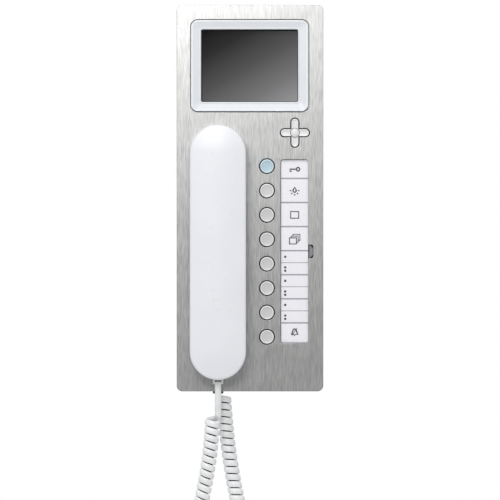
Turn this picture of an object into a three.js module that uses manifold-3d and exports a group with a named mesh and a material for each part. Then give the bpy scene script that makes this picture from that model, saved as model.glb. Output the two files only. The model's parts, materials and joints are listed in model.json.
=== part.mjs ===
// A wall-mounted video intercom monitor with a corded handset.
//
// The object is drawn as it is seen from the front: x to the right, y up, z out of the wall. The group that
// holds it all is turned once at the end, so that in the finished frame +Z is up and the front faces -Y.
// The origin is the middle of the wall base's back face. Lengths are in millimetres.
import * as THREE from "three";
import { mergeVertices } from "three/addons/utils/BufferGeometryUtils.js";
import Module from "manifold-3d";

const wasm = await Module();
wasm.setup();

// ---------- driving dimensions ----------

const GAP = 0.3; // left between pieces that touch
const PANEL = { width: 106, height: 279.5, corner: 4, back: 24.2, front: 25.4 };
const HOUSING = { inset: 0.6, corner: 3.4, wall: 2, back: 1, ceiling: 21.8, front: 24 };
const WALL_BASE = { width: 99.2, height: 271.5, corner: 3, thickness: 2.2, rim: 1.8, rimTop: 7 };
const CABLE_INLET = { x: -19, y: 73, width: 30, height: 22 };
const CASE_SCREW = { x: 40, z: 5.2, headRadius: 2.5, shankRadius: 1.3 };

const SCREEN = { x: -0.3, y: 95.85, width: 70.1, height: 52.5 };
const BEZEL = { width: 84.6, height: 65.8, corner: 4.6, clearance: 0.65, front: 26.2, lip: 24.6 };
const BEZEL_FLANGE = { grow: 2.6, back: 19.6, front: 21.5 };
const WINDOW = { width: 74, height: 56, back: 21.9, front: 22.9 };
const LCD = { width: 76.9, height: 63.9, back: 18.2, front: 21.4 };
const LCD_BRACKET = { overlap: 3, windowWidth: 58, windowHeight: 44, back: 17.2, front: 17.9 };
const DISPLAY_BOARD = { width: 76, height: 62 };

const KEYS = { count: 8, x: 12.3, top: 23.1, pitch: 17.64, radius: 5, hole: 5.6, flange: 6.5, front: 26.2 };
const KEY_FLANGE = { back: 20.2, front: 21.4 };
const MAT = { back: 16.1, sheet: 17.2, dome: 19, domeRadius: 4.4 };

const NAV = { x: 32.5, y: 47.3, span: 20.4, arm: 5.1, clearance: 0.6, front: 26.2, pivot: 18 };
const NAV_FLANGE = { radius: 11, back: 19.6, front: 20.8 };
const NAV_RING = { inner: 5.2, outer: 7, back: 16.8, front: 18.7 };
const NAV_PIN = { radius: 0.6, reach: 9.6 };
const OK_KEY = { radius: 3.2, front: 26.9, stemRadius: 1.9, stemBack: 17.2, shoulder: 22 };

const LABEL = { x: 32.3, y: -38.55, width: 19.4, height: 132.3, clearance: 0.4, corner: 1.6 };
const LABEL_COVER = { back: 24.7, front: 25.9 };
const LABEL_CARD = { x: 0.4, widthInset: 1.4, heightInset: 2.6, corner: 1, back: 24, front: 24.2 };
const LABEL_TRAY = { grow: 0.2, back: 20, front: 23.7, flange: 4, flangeBack: 19.8, flangeFront: 21.5 };
const LABEL_HINGE = { inset: 0.8, z: 25.3, pinRadius: 0.3, earWidth: 1.6, earHeight: 1.1 };
const PRY_NOTCH = { right: 45.8, y: -38.25, height: 9.9, corner: 1.5 };

const BOARD = { thickness: 1.6, main: 9, keypad: 14.2, display: 14.4 };
const PLUG = { width: 7.6, depth: 6.6, length: 14.2 };
const SOCKET_CLEARANCE = 0.4;
const BASE_PLUG = { z: 15.4, bottom: -141.6, jackBottom: -136.8 };

const HANDSET = { x: -23.1, top: 52.6, bottom: -130.9, radius: 20.3, rear: 26.4, parting: 38.2, crown: 49.5 };
HANDSET.y = (HANDSET.top + HANDSET.bottom) / 2;
HANDSET.halfLength = (HANDSET.top - HANDSET.bottom) / 2;
HANDSET.capCentre = HANDSET.halfLength - HANDSET.radius;
const SHELL_WALL = 2;
const ARCH = { halfBase: 42, halfTop: 21, top: 36 }; // the finger gap behind the grip
const HANDSET_PLUG = { z: 33, overhang: 3.3 };
const HANDSET_SCREWS = [51.95, -62.15]; // along the handset, from its middle
const MAGNET = { y: -52.85, radius: 5, thickness: 3 };

const EAR_REST = { y: HANDSET.y + HANDSET.capCentre, radius: 14.7 };
const MOUTH_REST = { y: -113, radius: 11.7 };
const REST = { clearance: 0.5, front: 26.1, flange: 2.4, flangeBack: 20, flangeFront: 21.5 };
const HOOK = { y: 6, radius: 2.5, hole: 3.1, tip: 25.5, flangeRadius: 4, flangeBack: 16, flangeFront: 17.2 };
const KEEPER = { radius: 7, back: 22.5, front: 23.8 };

const CORD = { radius: 2.25, coilRadius: 5.5 };

// ---------- shapes and solids ----------

function roundedRect(x, y, width, height, radius) {
  const shape = new THREE.Shape();
  const [dx, dy] = [width / 2 - radius, height / 2 - radius];
  const corners = [[dx, -dy], [dx, dy], [-dx, dy], [-dx, -dy]];
  corners.forEach(([cx, cy], i) => {
    shape.absarc(x + cx, y + cy, radius, (i - 1) * (Math.PI / 2), i * (Math.PI / 2));
  });
  return shape;
}

function stadium(radius) {
  const shape = new THREE.Shape();
  shape.absarc(0, HANDSET.capCentre, radius, 0, Math.PI);
  shape.absarc(0, -HANDSET.capCentre, radius, Math.PI, 2 * Math.PI);
  return shape;
}

// A closed geometry as a manifold-3d solid.
function solid(geometry) {
  geometry.deleteAttribute("normal");
  geometry.deleteAttribute("uv");
  const merged = mergeVertices(geometry, 1e-4);
  const mesh = new wasm.Mesh({
    numProp: 3,
    vertProperties: merged.attributes.position.array,
    triVerts: new Uint32Array(merged.index.array),
  });
  return new wasm.Manifold(mesh);
}

function geometryOf(manifold) {
  const { numProp, numVert, vertProperties, triVerts } = manifold.getMesh();
  const positions = new Float32Array(numVert * 3);
  for (let i = 0; i < numVert; i++) {
    positions.set(vertProperties.subarray(i * numProp, i * numProp + 3), i * 3);
  }
  const geometry = new THREE.BufferGeometry();
  geometry.setAttribute("position", new THREE.BufferAttribute(positions, 3));
  geometry.setIndex(new THREE.BufferAttribute(triVerts, 1));
  const flatShaded = geometry.toNonIndexed();
  flatShaded.computeVertexNormals();
  return flatShaded;
}

function join(first, ...others) {
  return others.reduce((sum, other) => sum.add(other), first);
}

function cut(body, ...tools) {
  return tools.reduce((rest, tool) => rest.subtract(tool), body);
}

// A plate of the given outline between two heights above the wall.
function slab(shape, back, front, curveSegments = 3) {
  const depth = front - back;
  const geometry = new THREE.ExtrudeGeometry(shape, { depth, bevelEnabled: false, curveSegments });
  return solid(geometry.translate(0, 0, back));
}

// A block with rounded edges front and back: the outline given is that of its flat front, and its sides stand
// out from it by the rounding.
function crowned(flatOutline, back, front, round, bevelSegments, curveSegments) {
  const depth = front - back - 2 * round;
  const options = { depth, bevelThickness: round, bevelSize: round, bevelSegments, curveSegments };
  return solid(new THREE.ExtrudeGeometry(flatOutline, options).translate(0, 0, back + round));
}

function block(x, y, width, height, back, front) {
  const geometry = new THREE.BoxGeometry(width, height, front - back);
  return solid(geometry.translate(x, y, (back + front) / 2));
}

// A turned solid whose axis stands out of the wall: the profile holds [radius, z] pairs from back to front.
function turned(profile, segments = 16) {
  const points = profile.map(([radius, z]) => new THREE.Vector2(radius, z));
  return solid(new THREE.LatheGeometry(points, segments).rotateX(Math.PI / 2));
}

function rod(radius, back, front, segments = 10) {
  return turned([[0, back], [radius, back], [radius, front], [0, front]], segments);
}

// A rod from one end to the other along x or along y, through the middle of the piece at height z.
function crossRod(radius, reach, z, alongY, segments = 8) {
  const geometry = new THREE.CylinderGeometry(radius, radius, 2 * reach, segments);
  if (!alongY) geometry.rotateZ(Math.PI / 2);
  return solid(geometry.translate(0, 0, z));
}

// A cross of four arms with round ends.
function plusShape(span, arm) {
  const end = (span - arm) / 2;
  const shape = new THREE.Shape();
  for (let turn = 0; turn < 4; turn++) {
    const angle = turn * (Math.PI / 2);
    const centre = new THREE.Vector2(end, 0).rotateAround(new THREE.Vector2(), angle);
    const corner = new THREE.Vector2(arm / 2, arm / 2).rotateAround(new THREE.Vector2(), angle);
    shape.absarc(centre.x, centre.y, arm / 2, angle - Math.PI / 2, angle + Math.PI / 2);
    shape.lineTo(corner.x, corner.y);
  }
  return shape;
}

// ---------- materials ----------

function finish(color, roughness, metalness = 0) {
  return () => new THREE.MeshStandardMaterial({ color, roughness, metalness });
}

const STAINLESS = finish(0xb9b6b4, 0.35, 1);
const WHITE_PLASTIC = finish(0xeef0f3, 0.35);
const HOUSING_PLASTIC = finish(0xd9dbdd, 0.5);
const KEY_PLASTIC = finish(0xcbd0d4, 0.4);
const CALL_KEY_PLASTIC = finish(0xb3d2de, 0.4);
const BLACK_PLASTIC = finish(0x1a1a1b, 0.5);
const GLASS = finish(0x3c3d40, 0.08);
const CIRCUIT_BOARD = finish(0x2e6b45, 0.55);
const RUBBER = finish(0xbfc3c6, 0.8);
const CARD = finish(0xf2f2f5, 0.7);
const STEEL = finish(0xb4b7bb, 0.3, 1);
const CLEAR_PLASTIC = finish(0xe6e8ee, 0.12);
const CORD_JACKET = finish(0xeeeeee, 0.5);

function piece(name, manifold, material, x = 0, y = 0, z = 0) {
  const mesh = new THREE.Mesh(geometryOf(manifold), material());
  mesh.name = name;
  mesh.position.set(x, y, z);
  return mesh;
}

// A pan-head screw, its head at the back and its shank running forwards.
function screw(headRadius, headBack, headFront, shankRadius, tip) {
  const driveSlot = block(0, 0, headRadius * 1.3, 0.6, headBack - 0.1, headBack + 0.4);
  const profile = [
    [0, headBack],
    [headRadius * 0.8, headBack],
    [headRadius, headBack + 0.4],
    [headRadius, headFront],
    [shankRadius, headFront],
    [shankRadius, tip - 0.6],
    [0, tip],
  ];
  return cut(turned(profile, 8), driveSlot);
}

// ---------- openings shared by the housing and the front panel ----------

const keyHeights = Array.from({ length: KEYS.count }, (_, i) => KEYS.top - i * KEYS.pitch);

function bezelOutline(grow) {
  const corner = BEZEL.corner + Math.min(grow, 1);
  return roundedRect(SCREEN.x, SCREEN.y, BEZEL.width + 2 * grow, BEZEL.height + 2 * grow, corner);
}

function labelOutline(grow) {
  const { x, y, width, height, corner } = LABEL;
  return roundedRect(x, y, width + 2 * grow, height + 2 * grow, corner + Math.min(grow, 0.4));
}

function frontOpenings(back, front) {
  const left = LABEL.x;
  const width = PRY_NOTCH.right - left;
  const notch = roundedRect(left + width / 2, PRY_NOTCH.y, width, PRY_NOTCH.height, PRY_NOTCH.corner);
  const plus = plusShape(NAV.span + 2 * NAV.clearance, NAV.arm + 2 * NAV.clearance);
  const rests = [EAR_REST, MOUTH_REST].map(({ y, radius }) => {
    return rod(radius + REST.clearance, back, front, 20).translate([HANDSET.x, y, 0]);
  });
  return [
    slab(bezelOutline(BEZEL.clearance), back, front, 2),
    slab(labelOutline(LABEL.clearance), back, front),
    slab(notch, back, front, 2),
    slab(plus, back, front).translate([NAV.x, NAV.y, 0]),
    rod(HOOK.hole, back, front, 12).translate([HANDSET.x, HOOK.y, 0]),
    ...keyHeights.map((y) => rod(KEYS.hole, back, front, 14).translate([KEYS.x, y, 0])),
    ...rests,
  ];
}

// ---------- casing ----------

function frontPanel() {
  const { width, height, corner, back, front } = PANEL;
  const plate = slab(roundedRect(0, 0, width, height, corner), back, front);
  return piece("front_panel", cut(plate, ...frontOpenings(back - 1, front + 1)), STAINLESS);
}

const MAIN_BOARD_SCREWS = [[-44, 52], [-3, 52], [-44, -112], [-3, -118]];
const KEYPAD_SCREWS = [[8, 55], [30, -111.5]];

function housing() {
  const { inset, corner, wall, back, ceiling, front } = HOUSING;
  const [width, height] = [PANEL.width - 2 * inset, PANEL.height - 2 * inset];
  const outer = slab(roundedRect(0, 0, width, height, corner), back, front);
  const hollow = roundedRect(0, 0, width - 2 * wall, height - 2 * wall, corner - wall + 0.4);
  const bosses = [];
  const bores = [];
  const addBoss = ([x, y], boardTop, radius) => {
    bosses.push(rod(radius, boardTop + GAP, ceiling + 0.5).translate([x, y, 0]));
    bores.push(rod(1.5, boardTop, ceiling - 1.5).translate([x, y, 0]));
  };
  MAIN_BOARD_SCREWS.forEach((at) => addBoss(at, BOARD.main + BOARD.thickness, 3));
  KEYPAD_SCREWS.forEach((at) => addBoss(at, BOARD.keypad + BOARD.thickness, 2.6));

  const keeperPocket = rod(KEEPER.radius + GAP, KEEPER.back - GAP, front + 1, 16);
  const mouth = PLUG.depth / 2 + SOCKET_CLEARANCE;
  const plugDoor = block(HANDSET.x, -height / 2, PLUG.width + 1, 3 * wall, -mouth, mouth);
  const soundSlots = Array.from({ length: 7 }, (_, i) => {
    return block(-width / 2, -30 - i * 5, 3 * wall, 2, 8, 18);
  });
  const screwHoles = [-1, 1].flatMap((side) => {
    const at = [side * CASE_SCREW.x, -height / 2, CASE_SCREW.z];
    const hole = crossRod(1.6, 3 * wall, 0, true).translate(at);
    const seat = crossRod(CASE_SCREW.headRadius + GAP, 1.2, 0, true, 12).translate(at);
    return [hole, seat];
  });
  const shell = cut(outer, slab(hollow, back - 1, ceiling), ...frontOpenings(ceiling - 1, front + 1));
  const fitted = cut(
    join(shell, ...bosses),
    ...bores,
    keeperPocket.translate([HANDSET.x, HANDSET.y + MAGNET.y, 0]),
    plugDoor.translate([0, 0, BASE_PLUG.z]),
    ...soundSlots,
    ...screwHoles,
  );
  return piece("housing", fitted, HOUSING_PLASTIC);
}

function wallBase() {
  const { width, height, corner, thickness, rim, rimTop } = WALL_BASE;
  const tray = cut(
    slab(roundedRect(0, 0, width, height, corner), 0, rimTop),
    slab(roundedRect(0, 0, width - 2 * rim, height - 2 * rim, corner - rim + 0.6), thickness, rimTop + 1),
  );
  const bossDepth = 10;
  const bossTop = 8.4;
  const bosses = [-1, 1].map((side) => {
    return block(side * CASE_SCREW.x, (bossDepth - height) / 2, 9, bossDepth, 1, bossTop);
  });
  const bores = [-1, 1].map((side) => {
    const at = [side * CASE_SCREW.x, -height / 2, CASE_SCREW.z];
    return crossRod(CASE_SCREW.shankRadius + GAP, bossDepth - 0.8, 0, true).translate(at);
  });
  const inlet = roundedRect(CABLE_INLET.x, CABLE_INLET.y, CABLE_INLET.width, CABLE_INLET.height, 3);
  const wallScrewSlots = [[-34, 112], [34, 112], [-34, -104], [34, -104]].map(([x, y]) => {
    return slab(roundedRect(x, y, 4.5, 10, 2.2), -1, thickness + 1);
  });
  const plate = cut(join(tray, ...bosses), ...bores, ...wallScrewSlots);
  return piece("wall_base", cut(plate, slab(inlet, -1, thickness + 1)), HOUSING_PLASTIC);
}

function caseScrews() {
  const shankTip = 12;
  return [-1, 1].map((side, i) => {
    const profile = screw(CASE_SCREW.headRadius, 0, 0.9, CASE_SCREW.shankRadius, shankTip);
    const mesh = piece(`case_screw_${i + 1}`, profile, STEEL);
    mesh.rotation.x = -Math.PI / 2;
    mesh.position.set(side * CASE_SCREW.x, -PANEL.height / 2 + HOUSING.inset + 0.1, CASE_SCREW.z);
    return mesh;
  });
}

// ---------- monitor ----------

function monitor() {
  const { x, y, width, height } = SCREEN;
  const pocketTop = WINDOW.front + 0.2;
  const lcdY = y - 0.2;
  const body = slab(bezelOutline(0), BEZEL_FLANGE.back, BEZEL.front, 2);
  const flange = slab(bezelOutline(BEZEL_FLANGE.grow), BEZEL_FLANGE.back, BEZEL_FLANGE.front);
  const slope = BEZEL.front - BEZEL.lip;
  const slopeTool = new THREE.ExtrudeGeometry(roundedRect(x, y, width, height, 1), {
    depth: 1,
    bevelThickness: slope,
    bevelSize: 5.6,
    bevelSegments: 1,
    curveSegments: 2,
  }).translate(0, 0, BEZEL.front);
  const windowPocket = slab(roundedRect(x, y, WINDOW.width + 0.6, WINDOW.height + 0.6, 1), 19, pocketTop, 2);
  const lcdPocket = block(x, lcdY, LCD.width + 0.7, LCD.height + 0.7, 19, 21.6);
  const opening = slab(roundedRect(x, y, width, height, 1), 19, BEZEL.front + 1, 2);
  const bezel = cut(join(body, flange), windowPocket, lcdPocket, opening, solid(slopeTool));

  const { overlap, windowWidth, windowHeight, back, front } = LCD_BRACKET;
  const bracketOutline = roundedRect(x, y, BEZEL.width + overlap, BEZEL.height + overlap, 3);
  const bracketWindow = slab(roundedRect(x, y, windowWidth, windowHeight, 2), back - 1, front + 1);
  const bracket = cut(slab(bracketOutline, back, front), bracketWindow);
  const boardOutline = roundedRect(x, y, DISPLAY_BOARD.width, DISPLAY_BOARD.height, 2);
  const driverBoard = slab(boardOutline, BOARD.display, BOARD.display + BOARD.thickness);
  const connector = block(x + 10, y - 12, 24, 5, BOARD.display - 2.2, BOARD.display + 0.4);
  return [
    piece("monitor_bezel", bezel, WHITE_PLASTIC),
    piece("display_window", block(x, y, WINDOW.width, WINDOW.height, WINDOW.back, WINDOW.front), GLASS),
    piece("lcd_panel", block(x, lcdY, LCD.width, LCD.height, LCD.back, LCD.front), BLACK_PLASTIC),
    piece("lcd_bracket", bracket, STEEL),
    piece("display_board", join(driverBoard, connector), CIRCUIT_BOARD),
  ];
}

// ---------- keys, mat and keypad board ----------

function keycap() {
  const { radius, flange, front } = KEYS;
  return turned([
    [0, KEY_FLANGE.back],
    [flange, KEY_FLANGE.back],
    [flange, KEY_FLANGE.front],
    [radius, KEY_FLANGE.front],
    [radius, front - 0.5],
    [radius - 0.35, front - 0.15],
    [radius - 1.2, front],
    [0, front],
  ]);
}

function keys() {
  return keyHeights.map((y, i) => {
    return piece(`key_${i + 1}`, keycap(), i === 0 ? CALL_KEY_PLASTIC : KEY_PLASTIC, KEYS.x, y);
  });
}

function keypad() {
  const middle = (keyHeights[0] + keyHeights[KEYS.count - 1]) / 2;
  const sheetHeight = keyHeights[0] - keyHeights[KEYS.count - 1] + 15;
  const sheet = slab(roundedRect(KEYS.x, middle, 15.4, sheetHeight, 3), MAT.back, MAT.sheet);
  const domes = keyHeights.map((y) => {
    const profile = [
      [0, MAT.sheet - 0.5],
      [MAT.domeRadius, MAT.sheet - 0.5],
      [MAT.domeRadius - 1.4, MAT.dome],
      [0, MAT.dome],
    ];
    return turned(profile, 8).translate([KEYS.x, y, 0]);
  });
  const [left, right, bottom, top] = [4, 48, -116, 60];
  const outline = roundedRect((left + right) / 2, (bottom + top) / 2, right - left, top - bottom, 2);
  const bores = KEYPAD_SCREWS.map(([x, y]) => rod(1.6, 13, 17).translate([x, y, 0]));
  const board = slab(outline, BOARD.keypad, BOARD.keypad + BOARD.thickness);
  return [
    piece("key_mat", join(sheet, ...domes), RUBBER),
    piece("keypad_board", cut(board, ...bores), CIRCUIT_BOARD),
    ...KEYPAD_SCREWS.map(([x, y], i) => {
      const back = BOARD.keypad - GAP - 1.4;
      return piece(`keypad_screw_${i + 1}`, screw(2.2, 0, 1.4, 1.1, 7), STEEL, x, y, back);
    }),
  ];
}

// ---------- control cross on its gimbal ----------

function controlCross() {
  const { span, arm, front, pivot } = NAV;
  const pinGroove = (reach, alongY) => {
    const [width, height] = alongY ? [1.8, 2 * reach] : [2 * reach, 1.8];
    return block(0, 0, width, height, pivot - NAV_PIN.radius - 0.1, front);
  };
  const well = rod(NAV_RING.outer + 0.8, BOARD.keypad, front, 16);
  const frame = slab(roundedRect(0, 0, 22, 22, 2), BOARD.keypad + BOARD.thickness + GAP, NAV_RING.front, 2);
  const bracket = cut(frame, well, pinGroove(NAV_PIN.reach + 0.4, false));

  const ring = cut(
    rod(NAV_RING.outer, NAV_RING.back, NAV_RING.front, 16),
    rod(NAV_RING.inner, NAV_RING.back - 1, NAV_RING.front + 1, 16),
    pinGroove(NAV_RING.outer + 1, true),
  );
  const ringPins = cut(
    crossRod(NAV_PIN.radius, NAV_PIN.reach, pivot, false),
    rod((NAV_RING.inner + NAV_RING.outer) / 2, NAV_RING.back - 1, NAV_RING.front + 1, 16),
  );

  const hubRadius = 3.6;
  const hub = rod(hubRadius, NAV_RING.back + 0.2, NAV_FLANGE.back + 0.5, 16);
  const hubPins = crossRod(NAV_PIN.radius, NAV_RING.outer - 0.4, pivot, true);
  const plus = slab(plusShape(span, arm), NAV_FLANGE.back, front);
  const flange = rod(NAV_FLANGE.radius, NAV_FLANGE.back, NAV_FLANGE.front, 16);
  const stemBore = rod(OK_KEY.stemRadius + GAP, NAV_RING.back - 1, front);
  const capBore = rod(OK_KEY.radius + GAP, OK_KEY.shoulder - 1, front + 1, 16);
  const cross = cut(join(hub, hubPins, plus, flange), stemBore, capBore);

  const okKey = turned([
    [0, OK_KEY.stemBack],
    [OK_KEY.stemRadius, OK_KEY.stemBack],
    [OK_KEY.stemRadius, OK_KEY.shoulder],
    [OK_KEY.radius, OK_KEY.shoulder],
    [OK_KEY.radius, front - 0.1],
    [OK_KEY.radius * 0.8, front + 0.3],
    [OK_KEY.radius * 0.45, OK_KEY.front - 0.1],
    [0, OK_KEY.front],
  ]);
  const group = new THREE.Group();
  group.position.set(NAV.x, NAV.y, 0);
  group.add(
    piece("nav_bracket", bracket, BLACK_PLASTIC),
    piece("nav_gimbal", join(ring, ringPins), STEEL),
    piece("nav_cross", cross, KEY_PLASTIC),
    piece("nav_ok_key", okKey, KEY_PLASTIC),
  );
  return group;
}

// ---------- label strip ----------

function labelStrip() {
  const { width, height } = LABEL;
  const hingeX = -width / 2 + LABEL_HINGE.inset;
  const ends = [-1, 1];
  const earY = (side) => side * (height / 2 - LABEL_HINGE.earHeight / 2);

  const { grow, back: trayBack, front: trayTop, flange, flangeBack, flangeFront } = LABEL_TRAY;
  const traySpan = roundedRect(0, 0, width + grow, height + grow, LABEL.corner);
  const tray = slab(traySpan, trayBack, trayTop, 2);
  const trayFlange = slab(roundedRect(0, 0, width + flange, height + flange, 2), flangeBack, flangeFront, 2);
  const ears = ends.map((side) => {
    const ear = block(hingeX, earY(side) + side * 0.15, LABEL_HINGE.earWidth, 0.6, trayTop - 0.5, 25.8);
    const pinSlot = block(hingeX, earY(side), 1.1, 4, LABEL_HINGE.z - 0.6, 27);
    return cut(ear, pinSlot).intersect(slab(traySpan, trayTop - 1, 27, 2));
  });

  const { x, widthInset, heightInset, corner, back, front } = LABEL_CARD;
  const card = slab(roundedRect(x, 0, width - widthInset, height - heightInset, corner), back, front, 2);

  const sheet = slab(roundedRect(0, 0, width, height, LABEL.corner), LABEL_COVER.back, LABEL_COVER.front, 2);
  const notchWidth = LABEL_HINGE.inset + LABEL_HINGE.earWidth / 2 + GAP;
  const notches = ends.map((side) => {
    const notchX = (notchWidth - width) / 2;
    return block(notchX, side * height / 2, notchWidth, 2 * LABEL_HINGE.earHeight, 24, 27);
  });
  const hingePin = crossRod(LABEL_HINGE.pinRadius, height / 2 - 0.1, LABEL_HINGE.z, true, 6);
  const cover = join(cut(sheet, ...notches), hingePin.translate([hingeX, 0, 0]));

  const group = new THREE.Group();
  group.position.set(LABEL.x, LABEL.y, 0);
  group.add(
    piece("label_tray", join(tray, trayFlange, ...ears), WHITE_PLASTIC),
    piece("label_card", card, CARD),
    piece("label_cover", cover, CLEAR_PLASTIC),
  );
  return group;
}

// ---------- handset rests, hook switch and keeper ----------

function handsetRest(name, { y, radius }) {
  const dish = turned([
    [0, REST.flangeBack],
    [radius + REST.flange, REST.flangeBack],
    [radius + REST.flange, REST.flangeFront],
    [radius, REST.flangeFront],
    [radius, REST.front - 0.4],
    [radius - 0.4, REST.front],
    [radius - 2.2, REST.front],
    [radius * 0.55, REST.front - 2.4],
    [0, REST.front - 2.9],
  ], 20);
  return piece(name, dish, WHITE_PLASTIC, HANDSET.x, y);
}

class Helix extends THREE.Curve {
  constructor(radius, back, front, turns) {
    super();
    Object.assign(this, { radius, back, front, turns });
  }
  getPoint(t, target = new THREE.Vector3()) {
    const angle = t * this.turns * 2 * Math.PI;
    const z = this.back + t * (this.front - this.back);
    return target.set(this.radius * Math.cos(angle), this.radius * Math.sin(angle), z);
  }
}

function circleShape(radius, sides) {
  const points = Array.from({ length: sides }, (_, i) => {
    const angle = (2 * Math.PI * i) / sides;
    return new THREE.Vector2(radius * Math.cos(angle), radius * Math.sin(angle));
  });
  return new THREE.Shape(points);
}

function tube(curve, radius, sides, steps) {
  return solid(new THREE.ExtrudeGeometry(circleShape(radius, sides), { steps, extrudePath: curve }));
}

function hookSwitch() {
  const { y, radius, tip, flangeRadius, flangeBack, flangeFront } = HOOK;
  const boardTop = BOARD.main + BOARD.thickness;
  const tailBack = 12.4;
  const plunger = turned([
    [0, tailBack],
    [1.1, tailBack],
    [1.1, flangeBack],
    [flangeRadius, flangeBack],
    [flangeRadius, flangeFront],
    [radius, flangeFront],
    [radius, tip - 1.4],
    [radius * 0.8, tip - 0.5],
    [0, tip],
  ], 12);
  const spring = tube(new Helix(2.2, 11.7, 15.3, 3), 0.3, 5, 36);
  const body = cut(block(0, 0, 12, 12, boardTop + GAP, 15.4), rod(3.1, 11.3, 17));
  return [
    piece("hook_plunger", plunger, WHITE_PLASTIC, HANDSET.x, y),
    piece("hook_spring", spring, STEEL, HANDSET.x, y),
    piece("hook_switch", body, BLACK_PLASTIC, HANDSET.x, y),
  ];
}

// ---------- main board and what stands on it ----------

function mainBoard() {
  const { main, thickness } = BOARD;
  const top = main + thickness;
  const seat = top + GAP;
  const [left, right, bottom, upper] = [-48, 1.5, -136, 58];
  const outline = roundedRect((left + right) / 2, (bottom + upper) / 2, right - left, upper - bottom, 2);
  const bores = MAIN_BOARD_SCREWS.map(([x, y]) => rod(1.6, main - 1, top + 1).translate([x, y, 0]));
  const board = cut(slab(outline, main, top), ...bores);

  const speaker = turned([
    [0, seat],
    [11, seat],
    [11, 14.6],
    [18, 15.6],
    [18, 20],
    [16.4, 20],
    [15, 18.8],
    [6, 16.6],
    [4, 17.6],
    [0, 18.2],
  ], 20);

  const wireEntries = [-8, 0, 8].map((x) => block(x, 6, 4.5, 6, 12.6, 16.8));
  const screwWells = [-8, 0, 8].map((x) => rod(1.8, 17, 20).translate([x, 0.5, 0]));
  const terminals = cut(block(0, 0, 24, 9, seat, 19), ...wireEntries, ...screwWells);

  const capacitor = turned([[0, seat], [4.6, seat], [4.6, 19.4], [4.2, 19.8], [0, 19.8]], 12);
  const shield = slab(roundedRect(0, 0, 26, 20, 1), seat, seat + 2.8, 2);

  const ribbonPath = new THREE.Shape();
  const [low, high, sheet] = [11.2, 13.3, 0.4];
  ribbonPath.moveTo(-9, low);
  ribbonPath.lineTo(-3, low);
  ribbonPath.bezierCurveTo(1, low, 1, high, 5, high);
  ribbonPath.lineTo(11, high);
  ribbonPath.lineTo(11, high + sheet);
  ribbonPath.lineTo(5, high + sheet);
  ribbonPath.bezierCurveTo(0.6, high + sheet, 0.6, low + sheet, -3, low + sheet);
  ribbonPath.lineTo(-9, low + sheet);
  const ribbonWidth = 14;
  const ribbonOptions = { depth: ribbonWidth, bevelEnabled: false, curveSegments: 6 };
  const ribbon = new THREE.ExtrudeGeometry(ribbonPath, ribbonOptions).rotateX(Math.PI / 2);

  const screws = MAIN_BOARD_SCREWS.map(([x, y], i) => {
    return piece(`board_screw_${i + 1}`, screw(2.5, 0, 1.4, 1.2, 8), STEEL, x, y, main - GAP - 1.4);
  });
  return [
    piece("main_board", board, CIRCUIT_BOARD),
    piece("ringer_speaker", speaker, BLACK_PLASTIC, HANDSET.x, -45),
    piece("bus_terminal_block", terminals, finish(0x3f8f5a, 0.5), -24, 51.5),
    piece("electrolytic_capacitor", capacitor, finish(0x27313f, 0.35), -8, -72),
    piece("shield_can", shield, STEEL, -30, -88),
    piece("ribbon_cable", solid(ribbon), CARD, 0, 26),
    ...screws,
  ];
}

// ---------- plugs and sockets ----------

// A modular plug standing upright: its contacts at the top, the cord's mouth at the bottom, y = 0 there.
function modularPlug() {
  const { width, depth, length } = PLUG;
  const body = block(0, length / 2, width, length, -depth / 2, depth / 2);
  const latch = block(0, length - 5.5, 3.2, 9, depth / 2 - 0.6, depth / 2 + 0.35);
  const contactWells = [-1.9, -0.65, 0.65, 1.9].map((x) => {
    return block(x, length - 1.6, 0.6, 4, -depth / 2 - 0.2, -depth / 2 + 1);
  });
  const crimpWindow = block(0, 5.2, 4.4, 1.6, depth / 2 - 1.2, depth / 2 + 1);
  return cut(join(body, latch), ...contactWells, crimpWindow);
}

// Its socket, open at the bottom, where y = 0.
function modularSocket(height, depth, reach) {
  const shell = block(0, height / 2, PLUG.width + 4.4, height, -depth / 2, depth / 2);
  const mouthWidth = PLUG.width + 2 * SOCKET_CLEARANCE;
  const mouthDepth = PLUG.depth + 2 * SOCKET_CLEARANCE;
  return cut(shell, block(0, 0, mouthWidth, 2 * reach, -mouthDepth / 2, mouthDepth / 2));
}

function basePlugAndSocket() {
  const { z, bottom, jackBottom } = BASE_PLUG;
  return [
    piece("base_plug", modularPlug(), CLEAR_PLASTIC, HANDSET.x, bottom, z),
    piece("base_jack", modularSocket(12.6, 8.6, 10.2), BLACK_PLASTIC, HANDSET.x, jackBottom, z),
  ];
}

// ---------- handset ----------

// The space behind the grip, as a bar across the handset, grown on every side.
function archBar(grow) {
  const top = ARCH.top + 1.2 * grow;
  const base = HANDSET.rear + grow;
  const [foot, shoulder] = [ARCH.halfBase + grow, ARCH.halfTop + grow];
  const handle = (foot - shoulder) * 0.4;
  const shape = new THREE.Shape();
  shape.moveTo(-foot, base - 10);
  shape.lineTo(foot, base - 10);
  shape.lineTo(foot, base);
  shape.bezierCurveTo(foot - handle, base, shoulder + 1.4 * handle, top, shoulder, top);
  shape.lineTo(-shoulder, top);
  shape.bezierCurveTo(-shoulder - 1.4 * handle, top, -foot + handle, base, -foot, base);
  const reach = 2 * HANDSET.radius + 10;
  const bar = new THREE.ExtrudeGeometry(shape, { depth: reach, bevelEnabled: false, curveSegments: 8 });
  const alongToY = new THREE.Vector3(0, 1, 0);
  const upToZ = new THREE.Vector3(0, 0, 1);
  const depthToX = new THREE.Vector3(1, 0, 0);
  bar.applyMatrix4(new THREE.Matrix4().makeBasis(alongToY, upToZ, depthToX));
  return solid(bar.translate(-reach / 2, 0, 0));
}

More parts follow.
